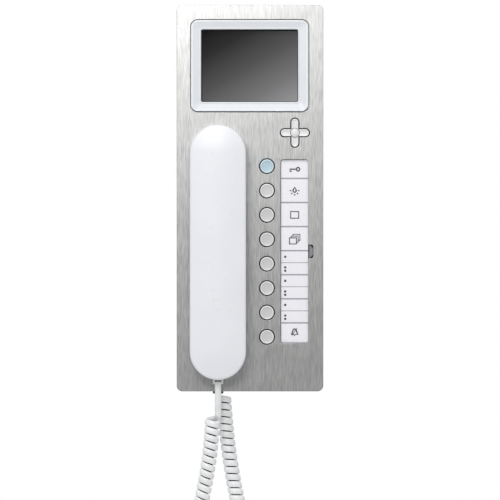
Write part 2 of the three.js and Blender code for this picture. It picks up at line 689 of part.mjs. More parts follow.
function rearShell() {
  const { radius, rear, parting, capCentre } = HANDSET;
  const floor = rear + SHELL_WALL;
  const edge = 2.4;
  const rounded = crowned(stadium(radius - edge), rear, parting + 10, edge, 2, 6);
  const outer = cut(rounded, block(0, 0, 60, 200, parting, parting + 20), archBar(0));
  const well = cut(slab(stadium(radius - SHELL_WALL), floor, parting + 5, 6), archBar(SHELL_WALL));
  const bosses = HANDSET_SCREWS.map((y) => rod(4, rear + 1, floor + 2.6, 12).translate([0, y, 0]));
  const bores = HANDSET_SCREWS.flatMap((y) => [
    rod(2.8, rear - 1, rear + 2.7).translate([0, y, 0]),
    rod(1.5, rear, floor + 3, 8).translate([0, y, 0]),
  ]);
  const soundHole = (x, y) => rod(1.2, rear - 1, floor + 0.1, 6).translate([x, y, 0]);
  const earHoles = Array.from({ length: 6 }, (_, i) => {
    const angle = i * (Math.PI / 3);
    return soundHole(5 * Math.cos(angle), capCentre + 5 * Math.sin(angle));
  });
  const mouth = PLUG.depth / 2 + SOCKET_CLEARANCE;
  const plugDoor = block(
    0,
    -HANDSET.halfLength,
    PLUG.width + 2 * SOCKET_CLEARANCE,
    8,
    HANDSET_PLUG.z - mouth,
    HANDSET_PLUG.z + mouth,
  );
  const speechHoles = [soundHole(0, capCentre), ...earHoles, soundHole(0, -capCentre)];
  return cut(join(cut(outer, well), ...bosses), ...bores, ...speechHoles, plugDoor);
}

function frontShell() {
  const { radius, parting, crown } = HANDSET;
  const foot = parting + GAP;
  const round = 7.5;
  const trim = block(0, 0, 60, 200, foot - 40, foot);
  const innerRound = round - SHELL_WALL;
  const outer = crowned(stadium(radius - round), foot - 2 * round, crown, round, 4, 6);
  const hollowFoot = foot - 2 * innerRound;
  const hollow = crowned(stadium(radius - round), hollowFoot, crown - SHELL_WALL, innerRound, 3, 6);
  const bosses = HANDSET_SCREWS.map((y) => {
    return rod(3, HANDSET.rear + SHELL_WALL + 2.6 + GAP, crown - 1).translate([0, y, 0]);
  });
  const bores = HANDSET_SCREWS.map((y) => rod(1.5, HANDSET.rear, crown - 5, 8).translate([0, y, 0]));
  return cut(join(cut(outer, trim, hollow), ...bosses), ...bores);
}

function handset() {
  const { x, y, rear, capCentre, halfLength } = HANDSET;
  const inside = rear + SHELL_WALL + GAP;
  const earpiece = turned([
    [0, inside],
    [9, inside],
    [15, inside + 1.2],
    [15, inside + 5],
    [9, inside + 5],
    [9, inside + 8],
    [0, inside + 8],
  ], 16);
  const microphone = turned([[0, inside], [4.8, inside], [4.8, inside + 6.6], [0, inside + 6.6]], 12);
  const jackBottom = -halfLength + 3.5;
  const plugBottom = -halfLength - HANDSET_PLUG.overhang;
  const group = new THREE.Group();
  group.position.set(x, y, 0);
  group.add(
    piece("handset_front_shell", frontShell(), WHITE_PLASTIC),
    piece("handset_rear_shell", rearShell(), WHITE_PLASTIC),
    piece("earpiece_capsule", earpiece, BLACK_PLASTIC, 0, capCentre),
    piece("microphone_capsule", microphone, STEEL, 0, -capCentre),
    piece("handset_magnet", rod(MAGNET.radius, inside, inside + MAGNET.thickness, 12), STEEL, 0, MAGNET.y),
    piece("handset_jack", modularSocket(11.4, 9.4, 8.9), BLACK_PLASTIC, 0, jackBottom, HANDSET_PLUG.z + 0.2),
    piece("handset_plug", modularPlug(), CLEAR_PLASTIC, 0, plugBottom, HANDSET_PLUG.z),
    ...HANDSET_SCREWS.map((screwY, i) => {
      return piece(`handset_screw_${i + 1}`, screw(2.4, 0, 1.6, 1.2, 13), STEEL, 0, screwY, rear + 0.8);
    }),
  );
  return group;
}

// ---------- cord ----------

// The coil hangs from the handset's plug in a loop and comes back up to the base's plug.
const COIL_ROUTE = [
  [-27.0, -156.8, 33],
  [-27.5, -168, 33],
  [-28.4, -179, 32.6],
  [-29.9, -191, 32],
  [-32.2, -205, 31.2],
  [-35.2, -220, 30.2],
  [-39.8, -240, 29],
  [-44.2, -262, 27.8],
  [-46.6, -281, 26.8],
  [-45.8, -298, 26],
  [-38.6, -315, 25],
  [-22.4, -325.5, 24],
  [-6.2, -315, 23],
  [0.9, -298, 22],
  [1.7, -281, 21.2],
  [-0.6, -262, 20.2],
  [-5, -240, 19],
  [-9.3, -218, 18],
  [-12.2, -203, 17.4],
  [-15.2, -184, 16.8],
  [-17.4, -165, 16.4],
  [-19.1, -144.4, 16.2],
];

function straight(x, top, bottom, z) {
  return new THREE.LineCurve3(new THREE.Vector3(x, top, z), new THREE.Vector3(x, bottom, z));
}

function cord() {
  const route = new THREE.CatmullRomCurve3(COIL_ROUTE.map((point) => new THREE.Vector3(...point)));
  const handsetPlugEnd = HANDSET.bottom - HANDSET_PLUG.overhang;
  const coilTop = COIL_ROUTE[0][1];
  const coilEnd = COIL_ROUTE[COIL_ROUTE.length - 1][1];
  const handsetTail = straight(HANDSET.x, handsetPlugEnd - GAP, coilTop + GAP, HANDSET_PLUG.z);
  const baseTail = straight(HANDSET.x, BASE_PLUG.bottom - GAP, coilEnd + GAP, BASE_PLUG.z);
  return [
    piece("cord_tail_handset", tube(handsetTail, CORD.radius, 8, 2), CORD_JACKET),
    piece("cord_curl", tube(route, CORD.coilRadius, 8, 44), CORD_JACKET),
    piece("cord_tail_base", tube(baseTail, CORD.radius, 8, 1), CORD_JACKET),
  ];
}

// ---------- the whole object ----------

const seenFromTheFront = new THREE.Group();
seenFromTheFront.rotation.x = Math.PI / 2;
seenFromTheFront.add(
  wallBase(),
  housing(),
  frontPanel(),
  ...caseScrews(),
  ...monitor(),
  ...keys(),
  ...keypad(),
  controlCross(),
  labelStrip(),
  handsetRest("ear_rest", EAR_REST),
  handsetRest("mouth_rest", MOUTH_REST),
  ...hookSwitch(),
  piece(
    "keeper_plate",
    rod(KEEPER.radius, KEEPER.back, KEEPER.front, 16),
    STEEL,
    HANDSET.x,
    HANDSET.y + MAGNET.y,
  ),
  ...mainBoard(),
  ...basePlugAndSocket(),
  handset(),
  ...cord(),
);

const intercom = new THREE.Group();
intercom.add(seenFromTheFront);

export default intercom;
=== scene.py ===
"""The looks of a wall-mounted video intercom station: a brushed steel front with a screen, keys, a label
strip and a corded handset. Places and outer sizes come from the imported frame; lengths are in metres."""

import json
import math

import bmesh
import bpy
from mathutils import Matrix, Vector


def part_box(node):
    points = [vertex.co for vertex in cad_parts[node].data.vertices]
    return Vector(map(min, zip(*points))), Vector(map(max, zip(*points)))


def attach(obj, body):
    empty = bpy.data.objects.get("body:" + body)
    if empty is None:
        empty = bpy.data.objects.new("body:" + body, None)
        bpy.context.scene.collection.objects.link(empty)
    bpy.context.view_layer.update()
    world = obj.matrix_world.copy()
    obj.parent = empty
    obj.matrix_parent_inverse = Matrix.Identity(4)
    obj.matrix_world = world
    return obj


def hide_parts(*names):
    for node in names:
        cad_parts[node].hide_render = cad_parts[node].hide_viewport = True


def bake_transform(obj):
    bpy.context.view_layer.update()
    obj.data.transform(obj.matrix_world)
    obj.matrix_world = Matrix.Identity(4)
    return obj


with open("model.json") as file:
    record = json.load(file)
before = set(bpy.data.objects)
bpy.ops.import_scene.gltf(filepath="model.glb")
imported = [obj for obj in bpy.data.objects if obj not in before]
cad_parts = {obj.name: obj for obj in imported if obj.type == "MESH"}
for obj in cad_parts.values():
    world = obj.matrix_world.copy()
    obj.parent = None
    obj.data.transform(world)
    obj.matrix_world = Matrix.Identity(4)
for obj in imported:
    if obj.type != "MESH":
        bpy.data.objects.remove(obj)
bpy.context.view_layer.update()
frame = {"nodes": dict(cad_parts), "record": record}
scene = bpy.context.scene

MM = 0.001
WELD = 2e-6


# --- places, as seen from the front: x to the right, z up, depth out of the wall ---

def at(x, z, depth):
    return Vector((x, -depth, z))


class Seen:
    """The extent of a CAD node as seen from the front."""

    def __init__(self, node):
        low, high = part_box(node)
        self.left, self.right = low.x, high.x
        self.bottom, self.top = low.z, high.z
        self.back, self.front = -high.y, -low.y
        self.x, self.z = (low.x + high.x) / 2, (low.z + high.z) / 2
        self.width, self.height = high.x - low.x, high.z - low.z

    def outline(self, grow, corner):
        """Its outline, wider and higher by grow, with rounded corners."""
        return rounded(self.x, self.z, self.width + grow, self.height + grow, corner)


panel = Seen("front_panel")
bezel = Seen("monitor_bezel")
window = Seen("display_window")
lcd = Seen("lcd_panel")
cover = Seen("label_cover")
card = Seen("label_card")
tray = Seen("label_tray")
cross = Seen("nav_cross")
front_shell = Seen("handset_front_shell")
rear_shell = Seen("handset_rear_shell")
handset_plug = Seen("handset_plug")
base_plug = Seen("base_plug")
plunger = Seen("hook_plunger")
casing = Seen("housing")
keys = [Seen(f"key_{number}") for number in range(1, 9)]
rests = {name: Seen(name) for name in ("ear_rest", "mouth_rest")}

PANEL_CORNER = 4 * MM
BEZEL_FLANGE = 2.6 * MM
BEZEL_CORNER = 4.6 * MM
BEZEL_WIDTH, BEZEL_HEIGHT = bezel.width - 2 * BEZEL_FLANGE, bezel.height - 2 * BEZEL_FLANGE
BEZEL_GAP = 0.95 * MM
BEZEL_GAP_NARROW = 0.6 * MM
SCREEN_WIDTH, SCREEN_HEIGHT = 70.1 * MM, 52.5 * MM
KEY_RADIUS = 5 * MM
KEY_GAP = 0.7 * MM
CROSS_SPAN = 20.4 * MM
CROSS_ARM = 5.1 * MM
CROSS_GAP = 0.7 * MM
OK_KEY_RADIUS = 3.2 * MM
BASE_PLUG_DEPTH = 15.4 * MM
LABEL_GAP = 0.4 * MM
LABEL_GAP_RIGHT = 0.05 * MM
NOTCH_REACH = 45.8 * MM
NOTCH_HEIGHT = 9.9 * MM
NOTCH_CORNER = 1.5 * MM
REST_FLANGE = 2.4 * MM
REST_GAP = 0.5 * MM
PLUNGER_HOLE = 3.1 * MM
HANDSET_RADIUS = 20.3 * MM
CELL_PITCH = 17.42 * MM


# --- outlines, counter-clockwise as seen from the front ---

def arc(x, z, radius, start, end, steps):
    """Points on an arc between two angles in degrees."""
    angles = [math.radians(start + (end - start) * step / steps) for step in range(steps + 1)]
    return [(x + radius * math.cos(angle), z + radius * math.sin(angle)) for angle in angles]


def circle(x, z, radius, steps=48):
    return arc(x, z, radius, 0, 360, steps)[:-1]


def rounded(x, z, width, height, corner, steps=8):
    points = []
    for quarter, (right, up) in enumerate([(1, 1), (-1, 1), (-1, -1), (1, -1)]):
        middle = (x + right * (width / 2 - corner), z + up * (height / 2 - corner))
        points += arc(*middle, corner, 90 * quarter, 90 * quarter + 90, steps)
    return points


def stadium(x, z, half_length, radius, inset, steps=32):
    """An upright oblong with round ends, its edge moved inwards by inset."""
    reach = half_length - radius
    radius = radius - inset
    return arc(x, z + reach, radius, 0, 180, steps) + arc(x, z - reach, radius, 180, 360, steps)


def plus(x, z, span, arm, steps=12):
    """A cross of four arms with round ends."""
    reach = (span - arm) / 2
    points = []
    for turn, c, s in [(0, 1, 0), (90, 0, 1), (180, -1, 0), (270, 0, -1)]:
        points += arc(x + reach * c, z + reach * s, arm / 2, turn - 90, turn + 90, steps)
        points.append((x + arm / 2 * (c - s), z + arm / 2 * (s + c)))
    return points


def lifted(outline, depth):
    return [(x, z, depth) for x, z in outline]


# --- meshes ---

def tidied(mesh):
    """Merges what coincides and turns every face outwards."""
    sketch = bmesh.new()
    sketch.from_mesh(mesh)
    bmesh.ops.remove_doubles(sketch, verts=sketch.verts, dist=WELD)
    bmesh.ops.dissolve_degenerate(sketch, edges=sketch.edges, dist=1e-6)
    bmesh.ops.recalc_face_normals(sketch, faces=sketch.faces)
    sketch.to_mesh(mesh)
    sketch.free()
    return mesh


def mesh_of(name, points, faces):
    mesh = bpy.data.meshes.new(name)
    mesh.from_pydata(points, [], faces)
    return mesh


def loft(loops, closed=False, capped=True):
    """A skin through loops of equal length, each made of (x, z, depth) points."""
    size = len(loops[0])
    points = [at(*point) for loop in loops for point in loop]
    faces = []
    for row in range(len(loops) if closed else len(loops) - 1):
        here, there = row * size, (row + 1) % len(loops) * size
        for i in range(size):
            j = (i + 1) % size
            faces.append((here + i, here + j, there + j, there + i))
    if capped and not closed:
        faces.append(tuple(reversed(range(size))))
        faces.append(tuple(range(len(points) - size, len(points))))
    return tidied(mesh_of("loft", points, faces))


def turned(x, z, profile, steps=48):
    """A turned solid standing out of the wall; its profile is (radius, depth) pairs, back to front."""
    loops = [lifted(circle(x, z, max(radius, 1e-7), steps), depth) for radius, depth in profile]
    return loft(loops, capped=False)


def disc(x, z, radius, back, front, steps=48):
    return turned(x, z, [(0, back), (radius, back), (radius, front), (0, front)], steps)


def in_mm(profile):
    return [(radius * MM, depth * MM) for radius, depth in profile]


def curve_mesh(outlines, closed, **settings):
    """The mesh of a curve through each outline of three-dimensional points."""
    curve = bpy.data.curves.new("outline", "CURVE")
    for name, value in settings.items():
        setattr(curve, name, value)
    for outline in outlines:
        spline = curve.splines.new("POLY")
        spline.points.add(len(outline) - 1)
        for point, place in zip(spline.points, outline):
            point.co = (*place, 1)
        spline.use_cyclic_u = closed
    shape = bpy.data.objects.new("outline", curve)
    mesh = bpy.data.meshes.new_from_object(shape)
    bpy.data.objects.remove(shape)
    return mesh


def plate(outlines, back, front, rim):
    """A flat plate whose edges are rounded by rim; the outlines after the first are its holes."""
    ordered = [lifted(outlines[0], 0), *(lifted(outline[::-1], 0) for outline in outlines[1:])]
    mesh = curve_mesh(ordered, True, dimensions="2D", fill_mode="BOTH", extrude=(front - back) / 2 - rim,
                      bevel_depth=rim, bevel_resolution=2, offset=-rim)
    upright = Matrix.Rotation(math.pi / 2, 4, "X")
    mesh.transform(Matrix.Translation((0, -(front + back) / 2, 0)) @ upright)
    return tidied(mesh)


def joined(*meshes):
    sketch = bmesh.new()
    for mesh in meshes:
        sketch.from_mesh(mesh)
    whole = bpy.data.meshes.new("joined")
    sketch.to_mesh(whole)
    sketch.free()
    return whole


def in_scene(name, data):
    """A new object for a mesh, light or camera."""
    made = bpy.data.objects.new(name, data)
    scene.collection.objects.link(made)
    return made


def modified(mesh, kind, **settings):
    """The mesh after one modifier."""
    holder = in_scene("holder", mesh)
    modifier = holder.modifiers.new(kind, kind)
    for name, value in settings.items():
        setattr(modifier, name, value)
    graph = bpy.context.evaluated_depsgraph_get()
    result = bpy.data.meshes.new_from_object(holder.evaluated_get(graph))
    bpy.data.objects.remove(holder)
    return result


def carved(mesh, *tools):
    """The mesh with each tool taken away from it."""
    for tool in tools:
        cutter = in_scene("cutter", tool)
        mesh = modified(mesh, "BOOLEAN", operation="DIFFERENCE", solver="EXACT", object=cutter)
        bpy.data.objects.remove(cutter)
    return tidied(mesh)


def softened(mesh, edge, angle=40):
    """The mesh with its sharp edges rounded."""
    return modified(mesh, "BEVEL", width=edge, segments=2, limit_method="ANGLE",
                    angle_limit=math.radians(angle), harden_normals=False)


def refined(node, edge):
    """A CAD node's shape with its flat faces made whole and its edges rounded."""
    mesh = frame["nodes"][node].data.copy()
    mesh.materials.clear()
    sketch = bmesh.new()
    sketch.from_mesh(mesh)
    bmesh.ops.remove_doubles(sketch, verts=sketch.verts, dist=WELD)
    bmesh.ops.dissolve_limit(sketch, angle_limit=math.radians(1), verts=sketch.verts, edges=sketch.edges)
    sketch.to_mesh(mesh)
    sketch.free()
    return softened(mesh, edge)


def box_outline(left, right, bottom, top):
    return [(left, bottom), (right, bottom), (right, top), (left, top)]


def block(left, right, bottom, top, back, front):
    outline = box_outline(left, right, bottom, top)
    return loft([lifted(outline, back), lifted(outline, front)])


def painted(mesh, finish, *others):
    """Gives the mesh a finish, and others to the faces that their tests pick."""
    mesh.materials.append(finish)
    for other, picked in others:
        mesh.materials.append(other)
        for face in mesh.polygons:
            if picked(face):
                face.material_index = len(mesh.materials) - 1
    return mesh


def deeper_than(depth):
    return lambda face: -face.center.y < depth


def higher_than(depth):
    return lambda face: -face.center.y > depth


def piece(name, mesh, finish, body, slot, *nodes, sharp=35, flat_faces=True):
    """A shown piece: it rides on a body, takes the finish given and stands for the CAD nodes named; the slot
    argument is not used.
    """
    if not mesh.materials:
        mesh.materials.append(finish)
    mesh.polygons.foreach_set("use_smooth", [True] * len(mesh.polygons))
    mesh.set_sharp_from_angle(angle=math.radians(sharp))
    if flat_faces:
        mesh = modified(mesh, "WEIGHTED_NORMAL", keep_sharp=True, weight=100)
    mesh.name = name
    shown = in_scene(name, mesh)
    if nodes:
        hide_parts(*nodes)
    if body:
        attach(shown, body)
    return shown


# --- materials ---

def tint(red, green, blue):
    """A display colour, 0 to 255, as the linear colour that shaders use."""
    channels = []
    for value in (red, green, blue):
        value /= 255
        channels.append(value / 12.92 if value <= 0.04045 else ((value + 0.055) / 1.055) ** 2.4)
    return (*channels, 1)


def new_node(tree, kind, *values, **inputs):
    """A new node; its inputs come in order or by name, as values or as another node's sockets."""
    added = tree.nodes.new(kind)
    named = [(added.inputs[name.replace("_", " ")], value) for name, value in inputs.items()]
    for socket, value in [*zip(added.inputs, values), *named]:
        if isinstance(value, bpy.types.NodeSocket):
            tree.links.new(value, socket)
        else:
            socket.default_value = value
    return added


FINISHES = {}


class Finish:
    """A material, kept by its name: a Principled shader with short calls for what feeds it."""

    def __init__(self, name, color, roughness, **sockets):
        self.material = FINISHES[name] = bpy.data.materials.new(name)
        self.material.use_nodes = True
        self.tree = self.material.node_tree
        self.link = self.tree.links.new
        self.shader = self.tree.nodes["Principled BSDF"].inputs
        self.shader["Base Color"].default_value = color
        self.shader["Roughness"].default_value = roughness
        for socket, value in sockets.items():
            self.shader[socket.replace("_", " ")].default_value = value

    def node(self, kind, *values, **inputs):
        return new_node(self.tree, kind, *values, **inputs)

    def place(self, stretch=(1, 1, 1)):
        """The point on the object, scaled along each axis."""
        coordinates = self.node("ShaderNodeTexCoord").outputs["Object"]
        return self.node("ShaderNodeMapping", Vector=coordinates, Scale=stretch).outputs[0]

    def noise(self, size, stretch=(1, 1, 1), detail=2):
        """Noise whose spots are about size across, and longer where stretch is below 1."""
        return self.node("ShaderNodeTexNoise", Vector=self.place(stretch), Scale=1 / size,
                         Detail=detail).outputs[0]

    def ranged(self, value, low, high, new_low, new_high):
        return self.node("ShaderNodeMapRange", value, low, high, new_low, new_high).outputs[0]

    def mixed(self, kind, a, b):
        added = self.node("ShaderNodeMath", a, b)
        added.operation = kind
        return added.outputs[0]

    def color(self, value, *stops):
        """Colours the surface by a value, through (position, colour) stops."""
        ramp = self.node("ShaderNodeValToRGB", Fac=value)
        elements = ramp.color_ramp.elements
        while len(elements) < len(stops):
            elements.new(0.5)
        for element, (position, color) in zip(elements, stops):
            element.position = position
            element.color = color
        self.link(ramp.outputs[0], self.shader["Base Color"])

    def rough(self, *limits):
        self.link(self.ranged(*limits), self.shader["Roughness"])

    def bump(self, height, distance, strength=1):
        added = self.node("ShaderNodeBump", Height=height, Distance=distance, Strength=strength)
        self.link(added.outputs[0], self.shader["Normal"])
        return self

    def uneven_gloss(self, size, low, high, detail=3):
        self.rough(self.noise(size, detail=detail), 0.3, 0.7, low, high)

    def moulded(self, grain, depth):
        """Fine moulded grain, with the gloss and colour a little uneven over the piece."""
        unevenness = 0.02
        wide = self.noise(30 * MM, detail=3)
        base = self.shader["Base Color"].default_value[:]
        darker = (*(channel * (1 - unevenness) for channel in base[:3]), 1)
        self.color(wide, (0.35, darker), (0.6, base))
        gloss = self.shader["Roughness"].default_value
        self.uneven_gloss(4 * MM, gloss * 0.9, gloss * 1.15)
        return self.bump(self.noise(grain), depth)


def brushed_steel():
    """Stainless steel brushed upwards: long fine scratches in colour, gloss and relief, which spread its
    highlights sideways."""
    steel = Finish("brushed_stainless", tint(190, 189, 188), 0.35, Metallic=1, Anisotropic=0.1)
    fine = steel.noise(0.3 * MM, (1, 1, 0.04), 1)
    broad = steel.noise(1.2 * MM, (1, 1, 0.08), 1)
    fine_share = 0.85
    both = steel.mixed("ADD", steel.mixed("MULTIPLY", fine, fine_share),
                       steel.mixed("MULTIPLY", broad, 1 - fine_share))
    steel.color(both, (0.32, tint(166, 166, 165)), (0.5, tint(183, 183, 182)), (0.68, tint(200, 200, 199)))
    steel.rough(both, 0.35, 0.65, 0.34, 0.37)
    steel.bump(fine, 0.008 * MM, 0.5)
    sideways = steel.node("ShaderNodeTangent")
    sideways.direction_type = "RADIAL"
    sideways.axis = "Z"
    steel.link(sideways.outputs[0], steel.shader["Tangent"])
    return steel.material


def moulded(name, color, roughness, grain=0.5 * MM, depth=0.004 * MM, **sockets):
    return Finish(name, color, roughness, **sockets).moulded(grain, depth).material


def smoked_glass_with_painted_sheen():
    """The protective window over the unlit display, paler towards its lower right corner: a painted sheen
    that stands in for a reflection.
    """
    glass = Finish("display_glass", tint(60, 60, 62), 0.06, Specular_IOR_Level=0.2)
    axes = glass.node("ShaderNodeSeparateXYZ", Vector=glass.place()).outputs
    across = glass.ranged(axes["X"], window.left, window.right, 0, 0.44)
    down = glass.ranged(axes["Z"], window.top, window.bottom, 0, 0.56)
    # Painted sheen: a diagonal gradient in the base colour, standing in for a reflection.
    shade = glass.mixed("ADD", across, down)
    stops = [(0, 3), (0.25, 45), (0.5, 82), (0.75, 117), (1, 156)]
    glass.color(shade, *((position, tint(grey, grey, grey + 1)) for position, grey in stops))
    return glass.bump(glass.noise(25 * MM, detail=1), 0.02 * MM, 0.3).material


def circuit_board():
    """Green solder mask over faint copper tracks."""
    board = Finish("circuit_board", tint(38, 96, 62), 0.4)
    tracks = board.noise(2.4 * MM, (1, 1, 0.25), 1)
    board.color(tracks, (0.47, tint(30, 82, 52)), (0.5, tint(58, 128, 82)), (0.53, tint(34, 90, 58)))
    board.bump(tracks, 0.03 * MM, 0.5)


def plain_steel():
    steel = Finish("steel", tint(190, 192, 196), 0.3, Metallic=1)
    steel.uneven_gloss(1.5 * MM, 0.22, 0.42, detail=4)
    return steel.bump(steel.noise(0.4 * MM), 0.004 * MM).material


def printed_card():
    card_stock = Finish("card", tint(236, 235, 241), 0.6)
    fibres = card_stock.noise(0.5 * MM, (1, 1, 0.5), 4)
    card_stock.color(fibres, (0.3, tint(248, 247, 251)), (0.7, tint(252, 251, 255)))
    return card_stock.bump(fibres, 0.002 * MM).material


def clear_plastic():
    clear = Finish("clear_plastic", tint(240, 241, 244), 0.06, Alpha=0.07)
    clear.uneven_gloss(6 * MM, 0.04, 0.12)
    return clear.bump(clear.noise(14 * MM, detail=1), 0.004 * MM, 0.3).material


def plug_plastic(name, color):
    """The clear plastic of a modular plug in the colour given: a little milky, or darkened as painted shade.
    """
    clear = Finish(name, color, 0.15, Alpha=0.85)
    clear.uneven_gloss(1.5 * MM, 0.1, 0.25)
    return clear.bump(clear.noise(2 * MM), 0.01 * MM, 0.5).material


def cord_jacket():
    jacket = Finish("cord_jacket", tint(240, 242, 242), 0.32)
    wide = jacket.noise(9 * MM, detail=3)
    jacket.color(wide, (0.35, tint(242, 244, 244)), (0.65, tint(251, 252, 252)))
    jacket.uneven_gloss(2 * MM, 0.26, 0.42)
    return jacket.bump(jacket.noise(0.6 * MM), 0.01 * MM, 0.6).material


BRUSHED_STEEL = brushed_steel()
# Painted shade: a darker copy of the steel for the panel's cut sides and its left, right and lower edges.
SHADED_STEEL_EDGE = moulded("steel_edge_painted_shade", tint(138, 138, 138), 0.45, Metallic=1)
WHITE = moulded("white_plastic", tint(249, 251, 254), 0.3)
HANDSET_WHITE = moulded("handset_plastic", tint(237, 239, 243), 0.3)
# A greyer copy of the white plastic for the screen frame's face; its rim keeps the full white as a painted
# highlight.
FRAME_WHITE = moulded("frame_plastic", tint(226, 229, 233), 0.32)
HOUSING = moulded("housing_plastic", tint(222, 224, 226), 0.5, 0.35 * MM, 0.02 * MM)
KEY = moulded("key_plastic", tint(210, 210, 209), 0.3)
CROSS = moulded("cross_plastic", tint(232, 232, 231), 0.3)
# Pale blue standing in for the call key's backlight: a painted glow, as no lamp is in the key.
CALL_KEY = moulded("call_key_plastic", tint(183, 208, 218), 0.36)
# Painted highlight: paler copies of the key plastics for the keys' raised rims.
RIM_HIGHLIGHT = moulded("rim_painted_highlight", tint(240, 240, 239), 0.3)
CALL_RIM_HIGHLIGHT = moulded("call_rim_painted_highlight", tint(214, 232, 239), 0.36)
# Black plastic, also put as painted shade on faces in shadow: the keys' sides below the panel, the label
# tray's sides, the notch's recess.
BLACK_AND_SHADE = moulded("black_plastic", tint(24, 24, 26), 0.45, 0.3 * MM, 0.01 * MM)
# Black print round the picture; where the border is wider, above and on the left, it is painted shadow of
# the frame.
BORDER_AND_SHADOW = moulded("display_border_and_shadow", tint(5, 5, 6), 0.4, 0.3 * MM, 0.001 * MM, Specular_IOR_Level=0.1)
# Painted shade: a dark grey for the cord's wedge, standing for the shadow in the plug's pocket.
SHADED_WEDGE = moulded("wedge_painted_shade", tint(84, 86, 84), 0.5)
# Painted shade: a grey copy of the housing plastic for the step in the notch.
NOTCH = moulded("notch_plastic_painted_shade", tint(142, 142, 146), 0.5)
INK = moulded("ink", tint(12, 12, 16), 0.6)
RULE_INK = moulded("rule_ink", tint(156, 156, 163), 0.6)
GILT = moulded("gilt", tint(214, 178, 96), 0.25, Metallic=1)
GLASS = smoked_glass_with_painted_sheen()
STEEL = plain_steel()
CARD = printed_card()
CLEAR = clear_plastic()
PLUG = plug_plastic("plug_plastic", tint(244, 246, 244))
# Painted shade: a dark copy of the clear plug plastic for the base's plug, which sits in the casing's
# shadow.
SHADED_PLUG = plug_plastic("plug_plastic_painted_shade", tint(52, 52, 54))
JACKET = cord_jacket()
# Painted shade: a dark copy of the white jacket for the coil's inner side; the real cord is white all round.
SHADED_INNER_JACKET = moulded("inner_jacket_painted_shade", tint(92, 95, 95), 0.5)
moulded("silicone", tint(176, 180, 184), 0.7, 0.4 * MM, 0.01 * MM)
moulded("terminal_plastic", tint(54, 132, 84), 0.45)
moulded("capacitor_sleeve", tint(34, 44, 60), 0.35)
circuit_board()


# --- camera ---

def camera():
    """A long lens straight in front of the panel, a little below its middle."""
    lens = bpy.data.cameras.new("camera")
    view_height = 361.7 * MM
    distance = 4.0
    below_middle = 37.5 * MM
    lens.sensor_width = 36
    lens.lens = lens.sensor_width * distance / view_height
    lens.clip_end = 100
    holder = in_scene("camera", lens)
    holder.location = at(0, -below_middle, distance + panel.front)
    holder.rotation_euler = (math.pi / 2, 0, 0)
    scene.camera = holder


camera()


# --- cord ---

CORD_WIDTH = 4.6 * MM
CORD_THICKNESS = 3 * MM
COIL_PITCH = 5.2 * MM
COIL_RADIUS = 4 * MM
RING_SPACING = 1.4 * MM
WINDS_IN_OVER, WINDS_OUT_OVER = 8 * MM, 3 * MM
EARLY_START, EARLY_END = 1.8 * MM, 1.7 * MM
COIL_ROUTE = [
    (-0.027, -0.1568, 0.033), (-0.0275, -0.168, 0.033), (-0.0284, -0.179, 0.0326),
    (-0.0299, -0.191, 0.032), (-0.0322, -0.205, 0.0312), (-0.0352, -0.22, 0.0302),
    (-0.0398, -0.24, 0.029), (-0.0442, -0.262, 0.0278), (-0.0466, -0.281, 0.0268),
    (-0.0458, -0.298, 0.026), (-0.0386, -0.315, 0.025), (-0.0224, -0.3255, 0.024),
    (-0.0062, -0.315, 0.023), (0.0009, -0.298, 0.022), (0.0017, -0.281, 0.0212),
    (-0.0006, -0.262, 0.0202), (-0.005, -0.24, 0.019), (-0.0093, -0.218, 0.018),
    (-0.0122, -0.203, 0.0174), (-0.0152, -0.184, 0.0168), (-0.0174, -0.165, 0.0164),
    (-0.0191, -0.1444, 0.0162),
]


def smooth_step(value):
    value = min(max(value, 0), 1)
    return value * value * (3 - 2 * value)


def spline_through(points, step):
    """Points a step apart on a smooth curve through the given ones."""
    ends = [2 * points[0] - points[1], *points, 2 * points[-1] - points[-2]]
    fine = []
    parts = 40
    for a, b, c, d in zip(ends, ends[1:], ends[2:], ends[3:]):
        for part in range(parts):
            t = part / parts
            curved = (c - a) * t + (2 * a - 5 * b + 4 * c - d) * t ** 2 + (3 * b - a - 3 * c + d) * t ** 3
            fine.append(b + curved / 2)
    fine.append(points[-1])
    spaced = [fine[0]]
    walked = 0
    for start, end in zip(fine, fine[1:]):
        span = (end - start).length
        while walked + span >= step * len(spaced):
            spaced.append(start.lerp(end, (step * len(spaced) - walked) / span))
        walked += span
    return spaced


def carried_frames(axis):
    """For each point of a curve its direction and two directions across it, carried on without twisting."""
    directions = [(b - a).normalized() for a, b in zip(axis, axis[1:])]
    directions.append(directions[-1])
    across = Vector((1, 0, 0))
    frames = []
    for before, direction in zip([directions[0], *directions], directions):
        across = before.rotation_difference(direction) @ across
        across = (across - direction * across.dot(direction)).normalized()
        frames.append((direction, across, direction.cross(across)))
    return frames


def winding(frames, step, straight_start, straight_end):
    """Turns per metre at each step and how far it is wound: none along the straight ends, and at least a
    cord's width for each turn on the inside of a bend."""
    reach = 40
    clearance = 1.02
    last = len(frames) - 1
    rates = []
    for index in range(len(frames)):
        ahead, behind = frames[min(index + reach, last)][0], frames[max(index - reach, 0)][0]
        bend = (ahead - behind).length / (2 * reach * step)
        pitch = max(COIL_PITCH, CORD_WIDTH * clearance / (1 - COIL_RADIUS * bend))
        begun = smooth_step((index * step - straight_start) / WINDS_IN_OVER)
        ending = smooth_step(((last - index) * step - straight_end) / WINDS_OUT_OVER)
        rates.append((begun * ending / pitch, begun * ending))
    return rates


